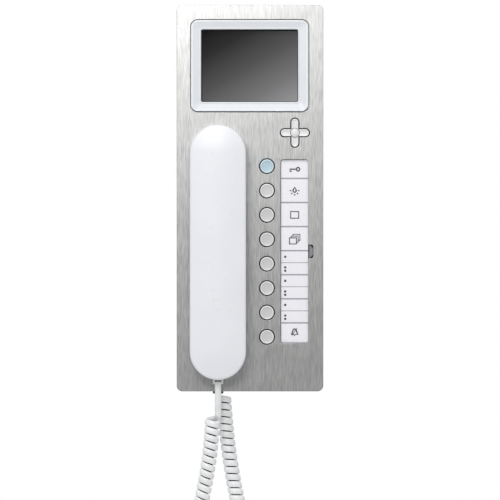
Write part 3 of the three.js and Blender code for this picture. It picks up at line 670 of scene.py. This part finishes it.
def cord_rings():
    """The cord's centres, and for each the outward direction of its coil and how far it is wound: straight
    out of the handset's plug along the coil's right side, left-handed round the route, and up the coil's
    left side into the base's plug."""
    start = at(handset_plug.x, handset_plug.bottom, COIL_ROUTE[0][2])
    end = at(base_plug.x, base_plug.bottom, BASE_PLUG_DEPTH)
    side = Vector((COIL_RADIUS, 0, 0))
    route = [at(*point) for point in COIL_ROUTE]
    step = 0.05 * MM
    axis = spline_through([start - side, *route, end + side], step)
    frames = carried_frames(axis)
    straight_start = (start - side - route[0]).length - EARLY_START
    straight_end = (end + side - route[-1]).length - EARLY_END
    rates = winding(frames, step, straight_start, straight_end)

    turns = sum(rate for rate, _ in rates) * step
    _, across, other = frames[-1]
    last_angle = math.atan2(-other.x, -across.x) / (2 * math.pi)
    whole_turns = last_angle + round(-turns - last_angle)
    stretch = abs(whole_turns) / turns

    rings = []
    angle = 0
    walked = RING_SPACING
    before = None
    for point, (_, across, other), (rate, wound) in zip(axis, frames, rates):
        outward = math.cos(angle) * across + math.sin(angle) * other
        centre = point + COIL_RADIUS * outward
        walked += (centre - before).length if before else 0
        if walked >= RING_SPACING:
            rings.append((centre, outward, wound))
            walked = 0
        before = centre
        angle -= 2 * math.pi * rate * stretch * step
    if (rings[-1][0] - end).length < RING_SPACING / 2:
        rings.pop()
    return [*rings, (end, outward, 0)]


def curly_cord():
    """The cord as a tube of flat section: its wide side faces forwards at the plugs and lies along the coil,
    and its inner side is painted darker as shade, which deepens the gaps between the turns."""
    rings = cord_rings()
    centres = [centre for centre, _, _ in rings]
    sides = 12
    half_width, half_thickness = CORD_WIDTH / 2, CORD_THICKNESS / 2
    points = []
    for index, (centre, outward, wound) in enumerate(rings):
        ahead, behind = centres[min(index + 1, len(rings) - 1)], centres[max(index - 1, 0)]
        direction = (ahead - behind).normalized()
        outward = (outward - direction * outward.dot(direction)).normalized()
        beside = direction.cross(outward)
        turn = math.pi / 2 * (1 - wound)
        wide = math.cos(turn) * beside + math.sin(turn) * outward
        thin = direction.cross(wide)
        narrowed = half_width * (1 - 0.05 * wound)
        squareness = 0.75 - 0.2 * wound
        for corner in range(sides):
            around = 2 * math.pi * corner / sides
            c, s = math.cos(around), math.sin(around)
            across = math.copysign(abs(c) ** squareness, c) * narrowed
            deep = math.copysign(abs(s) ** squareness, s) * half_thickness
            points.append(centre + across * wide + deep * thin)
    faces = [tuple(range(sides)), tuple(range(len(points) - sides, len(points)))]
    for row in range(len(rings) - 1):
        for i in range(sides):
            j = (i + 1) % sides
            a, b = row * sides, (row + 1) * sides
            faces.append((a + i, a + j, b + j, b + i))
    caps = 2
    inner_sides = range(1, 5)

    # The faces on the coil's inner side, which take the painted shade.
    def inward_faces_in_shade(face):
        row, side = divmod(face.index - caps, sides)
        return row >= 0 and side in inner_sides and rings[row][2] > 0.95

    mesh = painted(mesh_of("curly_cord", points, faces), JACKET, (SHADED_INNER_JACKET, inward_faces_in_shade))
    cord = piece("curly_cord", tidied(mesh), JACKET, None, "cord_jacket",
                 "cord_tail_handset", "cord_curl", "cord_tail_base", sharp=60, flat_faces=False)

    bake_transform(cord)
    follow_along(len(rings), sides)


def follow_along(rings, sides):
    """Works out, ring by ring, the share of the handset's motion the cord would follow, from all at the
    handset to none at the base's end; nothing applies the shares.
    """
    still = 0.04
    shares = []
    for ring in range(rings):
        along = ring / (rings - 1)
        shares += [1 - smooth_step((along - still) / (1 - 2 * still))] * sides


# --- front panel ---

def panel_holes():
    """The outlines of every opening in the front."""
    off_centre = (BEZEL_GAP - BEZEL_GAP_NARROW) / 2
    both_gaps = BEZEL_GAP + BEZEL_GAP_NARROW
    screen = rounded(bezel.x + off_centre, bezel.z - off_centre, BEZEL_WIDTH + both_gaps,
                     BEZEL_HEIGHT + both_gaps, BEZEL_CORNER + both_gaps / 2)
    edge = cover.right + LABEL_GAP_RIGHT
    label = rounded((cover.left - LABEL_GAP + edge) / 2, cover.z, edge - cover.left + LABEL_GAP,
                    cover.height + 2 * LABEL_GAP, 2 * MM)
    reach, low, high = NOTCH_REACH - NOTCH_CORNER, cover.z - NOTCH_HEIGHT / 2, cover.z + NOTCH_HEIGHT / 2
    label += [(edge, low)] + arc(reach, low + NOTCH_CORNER, NOTCH_CORNER, 270, 360, 6)
    label += arc(reach, high - NOTCH_CORNER, NOTCH_CORNER, 0, 90, 6) + [(edge, high)]
    holes = [screen, label, plus(cross.x, cross.z, CROSS_SPAN + 2 * CROSS_GAP, CROSS_ARM + 2 * CROSS_GAP)]
    holes += [circle(key.x, key.z, KEY_RADIUS + KEY_GAP) for key in keys]
    holes += [circle(rest.x, rest.z, rest.width / 2 - REST_FLANGE + REST_GAP) for rest in rests.values()]
    holes.append(circle(plunger.x, plunger.z, PLUNGER_HOLE))
    return holes


def front_panel():
    """The brushed steel sheet, with painted shade on its cut sides and along its left, right and lower
    edges.
    """
    outline = panel.outline(0, PANEL_CORNER)
    mesh = plate([outline, *panel_holes()], panel.back, panel.front, 0.25 * MM)
    edge = 0.45 * MM

    def is_shaded_edge(face):
        """Whether a face takes the painted shade: a cut side, or a face along the left, right or lower edge.
        """
        outside = max(abs(face.center.x) - panel.width / 2, panel.bottom - face.center.z)
        return outside > -edge or abs(face.normal.y) < 0.5

    painted(mesh, BRUSHED_STEEL, (SHADED_STEEL_EDGE, is_shaded_edge))
    piece("front_panel_sheet", mesh, BRUSHED_STEEL, "base", "brushed_stainless", "front_panel", sharp=20)


# --- casing ---

HOUSING_EDGE = 0.6 * MM
HOUSING_WALL = 2 * MM
HOUSING_CEILING = 21.8 * MM
CASE_SCREW_X = 40 * MM
CASE_SCREW_DEPTH = 5.2 * MM


def upright_rod(x, z, depth, radius, reach, steps=24):
    """A rod along z, reaching as far below z as above it."""
    ring = circle(x, depth, radius, steps)
    return loft([[(px, end, pd) for px, pd in ring] for end in (z - reach, z + reach)])


def housing():
    """The moulded casing: open towards the wall, with the front's openings in its ceiling, seven sound slots
    in the left side, and the plug's door and two screw holes in the bottom."""
    width, height = panel.width - 2 * HOUSING_EDGE, panel.height - 2 * HOUSING_EDGE
    outline = rounded(0, 0, width, height, 3.4 * MM)
    shell = plate([outline, *panel_holes()], casing.back, casing.front, 0.3 * MM)
    left, right = -width / 2 + HOUSING_WALL, width / 2 - HOUSING_WALL
    top = height / 2 - HOUSING_WALL
    hollow = rounded(0, 0, right - left, 2 * top, 1.8 * MM)
    cavity = loft([lifted(hollow, -MM), lifted(hollow, HOUSING_CEILING)])
    outside, inside = 2 * HOUSING_WALL, HOUSING_WALL / 2
    first_slot, slot_pitch = -30 * MM, 5 * MM
    slots = [block(left - outside, left + inside, z - MM, z + MM, 8 * MM, 18 * MM)
             for z in (first_slot - slot_pitch * slot for slot in range(7))]
    half_width, half_depth = 4.3 * MM, 3.7 * MM
    door = block(base_plug.x - half_width, base_plug.x + half_width, -top - outside, -top + inside,
                 BASE_PLUG_DEPTH - half_depth, BASE_PLUG_DEPTH + half_depth)
    screw_holes = [upright_rod(side * CASE_SCREW_X, -height / 2, CASE_SCREW_DEPTH, 2.8 * MM, 1.2 * MM)
                   for side in (-1, 1)]
    mesh = carved(shell, cavity, joined(*slots, door, *screw_holes))
    piece("housing_shell", softened(mesh, 0.2 * MM, 60), HOUSING, "base", "housing_plastic", "housing")


def keeper():
    profile = [(0, 22.5), (6.7, 22.5), (7, 22.8), (7, 23.6), (6.8, 23.8), (0, 23.8)]
    low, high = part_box("keeper_plate")
    mesh = turned((low.x + high.x) / 2, (low.z + high.z) / 2, in_mm(profile))
    piece("keeper_disc", mesh, STEEL, "base", "steel", "keeper_plate")


# --- monitor ---

def monitor_frame():
    """The white frame: a rounded rim, a face that slopes in to the screen, a thin raised lip, and a flange
    behind the panel; the face is a greyer white, and the outer rim the full white as a painted highlight."""
    def between(share):
        """The outline a share of the way from the rim to the screen's edge."""
        rim = Vector((BEZEL_WIDTH, BEZEL_HEIGHT, BEZEL_CORNER))
        return rounded(bezel.x, bezel.z, *rim.lerp((SCREEN_WIDTH, SCREEN_HEIGHT, 1.2 * MM), share))

    flange = bezel.outline(0, BEZEL_CORNER + MM)
    pocket = lcd.outline(0.7 * MM, 0.8 * MM)
    rebate = window.outline(0.6 * MM, 0.8 * MM)
    front, back = bezel.front, bezel.back
    section = [(0, -0.55), (0.012, -0.25), (0.035, -0.07), (0.06, 0), (0.09, -0.02), (0.14, -0.12),
               (0.78, -1.12), (0.81, -1.12), (0.83, -1), (0.86, -0.94), (0.90, -0.95), (0.95, -1.08),
               (0.985, -1.3), (1, -1.6)]
    loops = [lifted(pocket, back), lifted(flange, back), lifted(flange, back + 1.9 * MM),
             lifted(between(0), back + 1.9 * MM)]
    loops += [lifted(between(share), front + drop * MM) for share, drop in section]
    loops += [lifted(between(1), window.front + 0.2 * MM), lifted(rebate, window.front + 0.2 * MM),
              lifted(rebate, lcd.front + 0.2 * MM), lifted(pocket, lcd.front + 0.2 * MM)]
    rim = 1.1 * MM

    def in_highlit_rim(face):
        sideways = BEZEL_WIDTH / 2 - abs(face.center.x - bezel.x)
        upwards = BEZEL_HEIGHT / 2 - abs(face.center.z - bezel.z)
        return min(sideways, upwards) < rim

    # Painted highlight: the outer rim takes the paler white.
    mesh = painted(loft(loops, closed=True), FRAME_WHITE, (WHITE, in_highlit_rim))
    piece("screen_frame", mesh, FRAME_WHITE, "base", "white_plastic", "monitor_bezel", sharp=30)


def screen():
    """The smoked window, with a black border printed round the picture, made wider above and on the left as
    painted shadow of the frame.
    """
    left, right, above, below = 0.75 * MM, 0.4 * MM, 1.1 * MM, 0.4 * MM
    edge = 0.1 * MM
    rim = window.outline(0, 0.6 * MM)
    inner = rounded(window.x + (left - right) / 2, window.z + (below - above) / 2,
                    SCREEN_WIDTH - left - right, SCREEN_HEIGHT - above - below, 0.8 * MM)
    loops = [lifted(rim, window.back), lifted(rim, window.front - edge),
             lifted(window.outline(-2 * edge, 0.5 * MM), window.front), lifted(inner, window.front)]

    def is_picture(face):
        return face.normal.y < -0.9 and len(face.vertices) > 4

    mesh = painted(loft(loops), BORDER_AND_SHADOW, (GLASS, is_picture))
    piece("screen_window", mesh, GLASS, "base", "display_glass", "display_window")


# --- keys ---

PANEL_DEEP = panel.front - 0.3 * MM


def round_keys():
    """Eight keys, each a raised rim round a shallow dish, with a flange behind the panel; below the panel's
    face they are painted black as the shade in the gap, and their rims paler as a painted highlight."""
    profile = [(0, 20.2), (6.5, 20.2), (6.5, 21.4), (5, 21.4), (5, 24.9), (5, 25.5), (4.95, 25.78),
               (4.82, 26), (4.6, 26.14), (4.35, 26.18), (4.1, 26.08), (3.8, 25.86), (3.4, 25.72),
               (1, 25.66), (0, 25.66)]
    for number, key in enumerate(keys, 1):
        finish, rim, slot = KEY, RIM_HIGHLIGHT, "key_plastic"
        if number == 1:
            finish, rim, slot = CALL_KEY, CALL_RIM_HIGHLIGHT, "call_key_plastic"
        # Painted shade below the panel's face, painted highlight on the rim.
        mesh = painted(turned(key.x, key.z, in_mm(profile)), finish, (BLACK_AND_SHADE, deeper_than(PANEL_DEEP)),
                       (rim, higher_than(26 * MM)))
        piece(f"round_key_{number}", mesh, finish, f"key_{number}", slot, f"key_{number}")


def control_cross():
    """Four arms with a raised edge and a shallow dish, on a flange and hub, and a domed middle key."""
    face = [(0, 20.8), (0, 24.9), (0, 25.6), (0.06, 25.9), (0.2, 26.1), (0.4, 26.2), (0.62, 26.14),
            (0.95, 25.84), (1.3, 25.7), (1.9, 25.66)]
    arms = [lifted(plus(cross.x, cross.z, CROSS_SPAN - 2 * inset, CROSS_ARM - 2 * inset), depth)
            for inset, depth in in_mm(face)]
    hub_back, flange_back, flange_front = 17 * MM, 19.6 * MM, 20.8 * MM
    flange = disc(cross.x, cross.z, 11 * MM, flange_back, flange_front)
    hub = disc(cross.x, cross.z, 3.6 * MM, hub_back, flange_back)
    pins = [upright_rod(cross.x, cross.z + side * 4.9 * MM, 18 * MM, 0.6 * MM, 1.7 * MM, 16)
            for side in (-1, 1)]
    step = OK_KEY_RADIUS + 0.3 * MM
    bore = turned(cross.x, cross.z, [*in_mm([(0, 16), (2.2, 16), (2.2, 21)]), (step, 21 * MM),
                                     (step, 28 * MM), (0, 28 * MM)])
    mesh = joined(*[carved(part, bore) for part in (loft(arms), flange, hub)], *pins)
    # Painted shade below the panel's face, painted highlight on the arms' raised edge.
    painted(mesh, CROSS, (BLACK_AND_SHADE, deeper_than(PANEL_DEEP)), (RIM_HIGHLIGHT, higher_than(25.95 * MM)))
    piece("control_cross", mesh, CROSS, "nav_cross", "key_plastic", "nav_cross")

    dome = [(0, 17.2), (1.9, 17.2), (1.9, 22), (3.2, 22), (3.2, 25.7), (3.12, 26), (2.9, 26.3),
            (2.5, 26.58), (1.9, 26.77), (1.1, 26.87), (0, 26.9)]
    mesh = turned(cross.x, cross.z, in_mm(dome))
    piece("control_middle_key", mesh, CROSS, "nav_ok_key", "key_plastic", "nav_ok_key")


# --- label strip ---

def label_strip():
    """A shallow tray, the printed card in it and the clear cover that hinges on the left."""
    lip = 23.7 * MM
    outline = cover.outline(0.2 * MM, 1.6 * MM)
    skirt = rounded(cover.x, cover.z, tray.width, tray.height, 2 * MM)
    step = 21.5 * MM
    mesh = loft([lifted(skirt, tray.back), lifted(skirt, step), lifted(outline, step), lifted(outline, lip)])
    # Painted shade: the tray's faces below its lip are black, so the gap round the cover reads as shadow.
    painted(mesh, WHITE, (BLACK_AND_SHADE, deeper_than(lip - 0.1 * MM)))
    piece("label_bed", mesh, WHITE, "base", "white_plastic", "label_tray")

    sheet = rounded(cover.x, cover.z, cover.width, cover.height - 1.2 * MM, MM)
    mesh = loft([lifted(sheet, card.back), lifted(sheet, card.front)])
    piece("label_sheet", mesh, CARD, "base", "card", "label_card")

    thickness = 1.2 * MM
    back = cover.front - thickness
    rim = 0.3 * MM
    corner = 1.6 * MM
    steps = [(0, 0), (0, thickness - rim), (0.1 * MM, thickness - 0.1 * MM), (rim, thickness)]
    loops = [lifted(cover.outline(-2 * inset, corner - inset), back + rise) for inset, rise in steps]
    piece("label_window", loft(loops), CLEAR, "label_cover", "clear_plastic", "label_cover")


def notch_step():
    """What shows in the notch beside the cover: a black block as painted shadow in the recess, and a step
    with cut outer corners in a grey copy of the housing plastic, as painted shade.
    """
    left, right = cover.right + 0.2 * MM, NOTCH_REACH - 0.15 * MM
    low, high = cover.z - NOTCH_HEIGHT / 2 + 0.05 * MM, cover.z + NOTCH_HEIGHT / 2 - 0.05 * MM
    floor, step, top = 21.7 * MM, 22.8 * MM, 24 * MM
    cut = 2.5 * MM
    # Painted shadow: a black block in the recess.
    piece("notch_recess", block(left, right, low, high, floor, step), BLACK_AND_SHADE, "base", "black_plastic")
    slot = 0.7 * MM
    outline = [(left + slot, low), (right - cut, low), (right, low + cut), (right, high - cut),
               (right - cut, high), (left + slot, high)]
    mesh = softened(loft([lifted(outline, step), lifted(outline, top)]), 0.15 * MM)
    piece("notch_step", mesh, NOTCH, "base", "housing_plastic")


LINE = 1.2 * MM
INK_HEIGHT = 0.04 * MM


def stroke(points, width, closed=False):
    """A printed line on the label card."""
    mesh = curve_mesh([[(x, 0, z) for x, z in points]], closed, dimensions="3D", bevel_depth=width / 2,
                      bevel_resolution=1, use_fill_caps=True)
    flatten = Matrix.Diagonal((1, INK_HEIGHT / width, 1, 1))
    mesh.transform(Matrix.Translation((0, -card.front - INK_HEIGHT / 2, 0)) @ flatten)
    return mesh


def near(x, z, points):
    """Points given in millimetres from a place."""
    return [(x + px * MM, z + pz * MM) for px, pz in points]


def dot(x, z):
    return disc(x, z, 0.9 * MM, card.front, card.front + INK_HEIGHT, 20)


def door_pictogram(x, z):
    """A key: ring, shaft and bit."""
    ring = [(2.5 + 1.05 * px, 1.35 * pz) for px, pz in circle(0, 0, 1, 24)]
    shaft, bit = [(-3.7, 0), (1.3, 0)], [(-3.7, -1.45), (-2.1, -1.45)]
    return [stroke(near(x, z, ring), LINE, True), *(stroke(near(x, z, line), LINE) for line in (shaft, bit))]


def light_pictogram(x, z):
    """A hanging lamp bulb with five rays below it."""
    bulb = arc(x, z, 1.15 * MM, 155, 385, 20) + [(x, z + 2.5 * MM)]
    starts, ends = (arc(x, z, reach, 180, 360, 4) for reach in (2.4 * MM, 3.5 * MM))
    return [stroke(bulb, LINE, True), *(stroke(ray, 1.1 * MM) for ray in zip(starts, ends))]


def screen_pictogram(x, z):
    return [stroke(box_outline(x - 2.9 * MM, x + 2.9 * MM, z - 2.35 * MM, z + 2.5 * MM), LINE, True)]


def memory_pictogram(x, z):
    """A pile of pictures, each showing behind the one in front."""
    shift = 1.25 * MM
    sheets = 3
    left, bottom, width, height = x - 3.7 * MM, z - 3.3 * MM, 5 * MM, 4.4 * MM
    marks = [stroke(box_outline(left, left + width, bottom, bottom + height), LINE, True)]
    for number in range(1, sheets):
        move = number * shift
        corner = (left + width + move, bottom + height + move)
        edge = [(left + move, corner[1] - shift), (left + move, corner[1]), corner,
                (corner[0], bottom + move), (corner[0] - shift, bottom + move)]
        marks.append(stroke(edge, 0.85 * MM))
    return marks


def mute_pictogram(x, z):
    """A bell that is crossed out."""
    side = [(2.4, -1.9), (1.9, -1.3), (1.5, 0.2), (1.1, 1.5), (0.4, 2.1)]
    bell = near(x, z, [(-px, pz) for px, pz in side] + side[::-1])
    slash = near(x, z, [(-1.9, -2.7), (1.7, 2.8)])
    clapper = near(x, z, [(-0.5, -2.3), (0.5, -2.3)])
    return [stroke(bell, LINE, True), stroke(slash, 0.7 * MM), stroke(clapper, LINE)]


def label_print():
    """Rules between the cells, a pictogram in each function's cell, and dots in the three double cells."""
    rules = [(keys[0].z + keys[1].z) / 2 - CELL_PITCH * i for i in range(7)]
    halves = [(rules[i] + rules[i + 1]) / 2 for i in (3, 4, 5)]
    widths = [*((z, 1.2 * MM) for z in rules), *((z, 0.6 * MM) for z in halves)]
    lines = [stroke([(cover.left, z), (cover.right, z)], width) for z, width in widths]
    piece("label_rules", joined(*lines), RULE_INK, "base", "card")

    middle = cover.x
    marks = door_pictogram(middle, (cover.top + rules[0]) / 2)
    marks += light_pictogram(middle, keys[1].z)
    marks += screen_pictogram(middle, keys[2].z)
    marks += memory_pictogram(middle, keys[3].z)
    marks += mute_pictogram(middle, (rules[6] + cover.bottom) / 2 + 0.7 * MM)
    dot_x = cover.left + 2.87 * MM
    for half in halves:
        marks.append(dot(dot_x, half + 4.3 * MM))
        marks += [dot(dot_x, half - 4.6 * MM + up * 1.2 * MM) for up in (-1, 1)]
    piece("label_pictograms", joined(*marks), INK, "base", "card")


# --- handset rests and plunger ---

def rest_dishes():
    """Two round rests: a flange behind the panel, a rounded lip, and a dish deepest in the middle."""
    lip = in_mm([(0, -0.5), (-0.15, -0.15), (-0.5, 0), (-1.9, 0), (-2.3, -0.15)])
    dish = [(0.8, -1.1 * MM), (0.55, -2.4 * MM), (0.3, -2.8 * MM), (0, -2.9 * MM)]
    for name, rest in rests.items():
        radius = rest.width / 2 - REST_FLANGE
        back, step, front = rest.back, rest.back + 1.5 * MM, rest.front
        profile = [(0, back), (radius + REST_FLANGE, back), (radius + REST_FLANGE, step), (radius, step)]
        profile += [(radius + beyond, front + drop) for beyond, drop in lip]
        profile += [(radius * share, front + drop) for share, drop in dish]
        piece(f"{name}_dish", turned(rest.x, rest.z, profile, 64), WHITE, "base", "white_plastic", name)


def hook_pin():
    back, tip = plunger.back, plunger.front
    stem = in_mm([(1.1, 16), (4, 16), (4, 17.2), (2.5, 17.2)])
    point = in_mm([(2.5, -1.5), (2.35, -0.8), (1.9, -0.3), (1.1, -0.05), (0, 0)])
    profile = [(0, back), (1.1 * MM, back), *stem, *((radius, tip + drop) for radius, drop in point)]
    mesh = turned(plunger.x, plunger.z, profile, 32)
    piece("hook_pin", mesh, WHITE, "hook_plunger", "white_plastic", "hook_plunger")


# --- handset ---

HANDSET_HALF = rear_shell.height / 2
HANDSET_SCREWS = (51.95 * MM, -62.15 * MM)
HANDSET_PLUG_DEPTH = 33 * MM
SHELL_WALL = 2 * MM
SHELL_GAP = 0.3 * MM
QUARTER_TURN = [math.pi / 12 * i for i in range(7)]


def handset_outline(inset, depth):
    return lifted(stadium(rear_shell.x, rear_shell.z, HANDSET_HALF, HANDSET_RADIUS, inset), depth)


def handset_front():
    """The front shell: upright sides, a tight rounding, and a crown that rises gently to the middle line;
    and the same again inside."""
    foot, crown = rear_shell.front + SHELL_GAP, front_shell.front
    dome = 2 * MM

    def crowned(top, wall, rounding):
        shoulder = top - dome
        reach = HANDSET_RADIUS - wall - rounding
        corner = [(wall + rounding * (1 - math.cos(angle)), shoulder - rounding * (1 - math.sin(angle)))
                  for angle in QUARTER_TURN]
        rise = [(wall + rounding + reach * share, top - dome * (1 - share) ** 2)
                for share in (i / 12 for i in range(1, 13))]
        return [handset_outline(inset, depth) for inset, depth in [(wall, foot), *corner, *rise]]

    inner = crowned(crown - SHELL_WALL, SHELL_WALL, MM)
    outer = crowned(crown, 0, 2 * MM)
    mesh = loft(inner[::-1] + outer, capped=False)
    piece("handset_front", mesh, HANDSET_WHITE, "handset", "white_plastic", "handset_front_shell", sharp=50)


def grip_bar(grow):
    """The space behind the grip, as a bar across the handset."""
    base, top = rear_shell.back + grow, 36 * MM + 1.2 * grow
    foot, shoulder = 42 * MM + grow, 21 * MM + grow
    handle = (foot - shoulder) * 0.4
    corners = [(foot, base), (foot - handle, base), (shoulder + 1.4 * handle, top), (shoulder, top)]
    slope = []
    for part in range(17):
        t = part / 16
        weights = [(1 - t) ** 3, 3 * t * (1 - t) ** 2, 3 * t * t * (1 - t), t ** 3]
        slope.append([sum(w * corner[axis] for w, corner in zip(weights, corners)) for axis in (0, 1)])
    mirrored = [(-z, depth) for z, depth in slope[::-1]]
    profile = [(foot, base - 10 * MM), *slope, *mirrored, (-foot, base - 10 * MM)]
    reach = HANDSET_RADIUS + 5 * MM
    return loft([[(x, rear_shell.z + z, depth) for z, depth in profile]
                 for x in (rear_shell.x - reach, rear_shell.x + reach)])


def handset_rear():
    """The rear shell: rounded at the back, hollowed, with the grip's arch, the speech holes, two screw wells
    and the plug's door."""
    back, parting = rear_shell.back, rear_shell.front
    edge = 2.4 * MM
    loops = [handset_outline(edge * (1 - math.sin(angle)), back + edge * (1 - math.cos(angle)))
             for angle in QUARTER_TURN]
    loops += [handset_outline(0, parting - 0.3 * MM), handset_outline(0.3 * MM, parting)]
    inside = loft([handset_outline(SHELL_WALL, back + SHELL_WALL),
                   handset_outline(SHELL_WALL, parting + 2 * MM)])
    well = carved(inside, grip_bar(SHELL_WALL))
    ear = rear_shell.z + HANDSET_HALF - HANDSET_RADIUS
    mouth = rear_shell.z - HANDSET_HALF + HANDSET_RADIUS
    spots = [(rear_shell.x, ear), (rear_shell.x, mouth), *circle(rear_shell.x, ear, 5 * MM, 6)]
    holes = [disc(x, z, 1.2 * MM, back - MM, back + 3 * MM, 20) for x, z in spots]
    screws = [disc(rear_shell.x, rear_shell.z + z, 2.8 * MM, back - MM, back + 1.9 * MM, 24)
              for z in HANDSET_SCREWS]
    half_width, half_depth, reach = (handset_plug.width + 0.8 * MM) / 2, 3.7 * MM, 4 * MM
    door = block(rear_shell.x - half_width, rear_shell.x + half_width, rear_shell.bottom - reach,
                 rear_shell.bottom + reach, HANDSET_PLUG_DEPTH - half_depth, HANDSET_PLUG_DEPTH + half_depth)
    mesh = carved(loft(loops), grip_bar(0), well, joined(*holes, *screws, door))
    piece("handset_back", softened(mesh, 0.3 * MM, 50), HANDSET_WHITE, "handset", "white_plastic",
          "handset_rear_shell", sharp=50)


# --- plugs ---

def modular_plug(name, node, body, finish):
    """A modular plug: rounded body, latch, four gilt contacts and the wedge that holds the cord, painted
    dark as the shade in its pocket.
    """
    plug = Seen(node)
    edge = 0.35 * MM
    low, high = plug.bottom, plug.top
    back, front = plug.back, plug.back + 6.6 * MM

    def ring(z, inset):
        outline = rounded(plug.x, (back + front) / 2, plug.width - 2 * inset, front - back - 2 * inset,
                          0.6 * MM, 4)
        return [(x, z, depth) for x, depth in outline]

    shell = loft([ring(low, edge), ring(low + edge, 0), ring(high - edge, 0), ring(high, edge)])
    hold = (plug.x - 2.5 * MM, plug.x + 2.5 * MM, low + 1.7 * MM, low + 2.7 * MM)
    recess = block(*hold, front - 1.2 * MM, front + MM)
    latch = block(plug.x - 1.6 * MM, plug.x + 1.6 * MM, low + 4.2 * MM, high - MM, front - 0.1 * MM,
                  front + 0.3 * MM)
    mesh = joined(carved(shell, recess), latch)
    piece(name, softened(mesh, 0.12 * MM), finish, body, "clear_plastic", node)
    piece(f"{name}_wedge", block(*hold, front - 1.15 * MM, front - 0.4 * MM), SHADED_WEDGE, body, "black_plastic")

    half_width = 0.2 * MM
    middles = [plug.x + x * MM for x in (-1.9, -0.65, 0.65, 1.9)]
    contacts = [block(x - half_width, x + half_width, high - 3.4 * MM, high - 0.4 * MM,
                      back + 0.15 * MM, back + 0.6 * MM) for x in middles]
    piece(f"{name}_contacts", softened(joined(*contacts), 0.05 * MM), GILT, body, "steel")


front_panel()
housing()
keeper()
monitor_frame()
screen()
round_keys()
control_cross()
label_strip()
notch_step()
label_print()
rest_dishes()
hook_pin()
handset_front()
handset_rear()
modular_plug("plug_at_handset", "handset_plug", "handset", PLUG)
modular_plug("plug_at_base", "base_plug", "base", SHADED_PLUG)
curly_cord()
piece("wall_base_tray", refined("wall_base", 0.25 * MM), HOUSING, "base", "housing_plastic", "wall_base")


# --- light ---

def light(name, spot, size, watts):
    """A soft rectangular light that points at the middle of the panel."""
    lamp = bpy.data.lights.new(name, "AREA")
    lamp.shape = "RECTANGLE"
    lamp.size, lamp.size_y = size
    lamp.energy = watts
    holder = in_scene(name, lamp)
    holder.location = spot
    holder.rotation_euler = (-spot).to_track_quat("-Z", "Y").to_euler()


def studio():
    """A white studio: a bright backdrop, a dimmer room in front, soft lights from the upper left and from
    above, and a pale floor far below."""
    light("key_light", at(-0.155, 0.42, 1.15), (0.55, 0.46), 5.4)
    light("overhead_light", at(-0.05, 0.95, 0.5), (0.7, 0.3), 4.0)
    world = bpy.data.worlds.new("studio")
    scene.world = world
    world.use_nodes = True
    tree = world.node_tree
    background = tree.nodes["Background"].inputs
    direction = new_node(tree, "ShaderNodeTexCoord").outputs["Generated"]
    lean = new_node(tree, "ShaderNodeVectorMath", direction, (-0.15, 0.9, 0.55))
    lean.operation = "DOT_PRODUCT"
    room = new_node(tree, "ShaderNodeMapRange", lean.outputs["Value"], -0.9, 0.5, 0.22, 0.62)
    room.interpolation_type = "SMOOTHSTEP"
    camera_ray = new_node(tree, "ShaderNodeLightPath").outputs["Is Camera Ray"]
    seen = new_node(tree, "ShaderNodeMix", Factor=camera_ray, A=room.outputs[0], B=1)
    tree.links.new(seen.outputs["Result"], background["Strength"])
    background["Color"].default_value = (1, 1, 1, 1)
    scene.view_settings.view_transform = "Standard"

    floor_finish = moulded("floor", tint(236, 236, 238), 0.6, 3 * MM, 0.05 * MM)
    floor_z = -0.45
    corners = [(-4, -6, floor_z), (4, -6, floor_z), (4, 2.5, floor_z), (-4, 2.5, floor_z)]
    mesh = mesh_of("floor", corners, [(0, 1, 2, 3)])
    mesh.materials.append(floor_finish)
    floor = in_scene("floor", mesh)


studio()

# --- the CAD nodes that stay ---

for part in frame["record"]["subparts"]:
    for place in frame["nodes"][part["node"]].material_slots:
        place.material = FINISHES[part["material_slot"]]
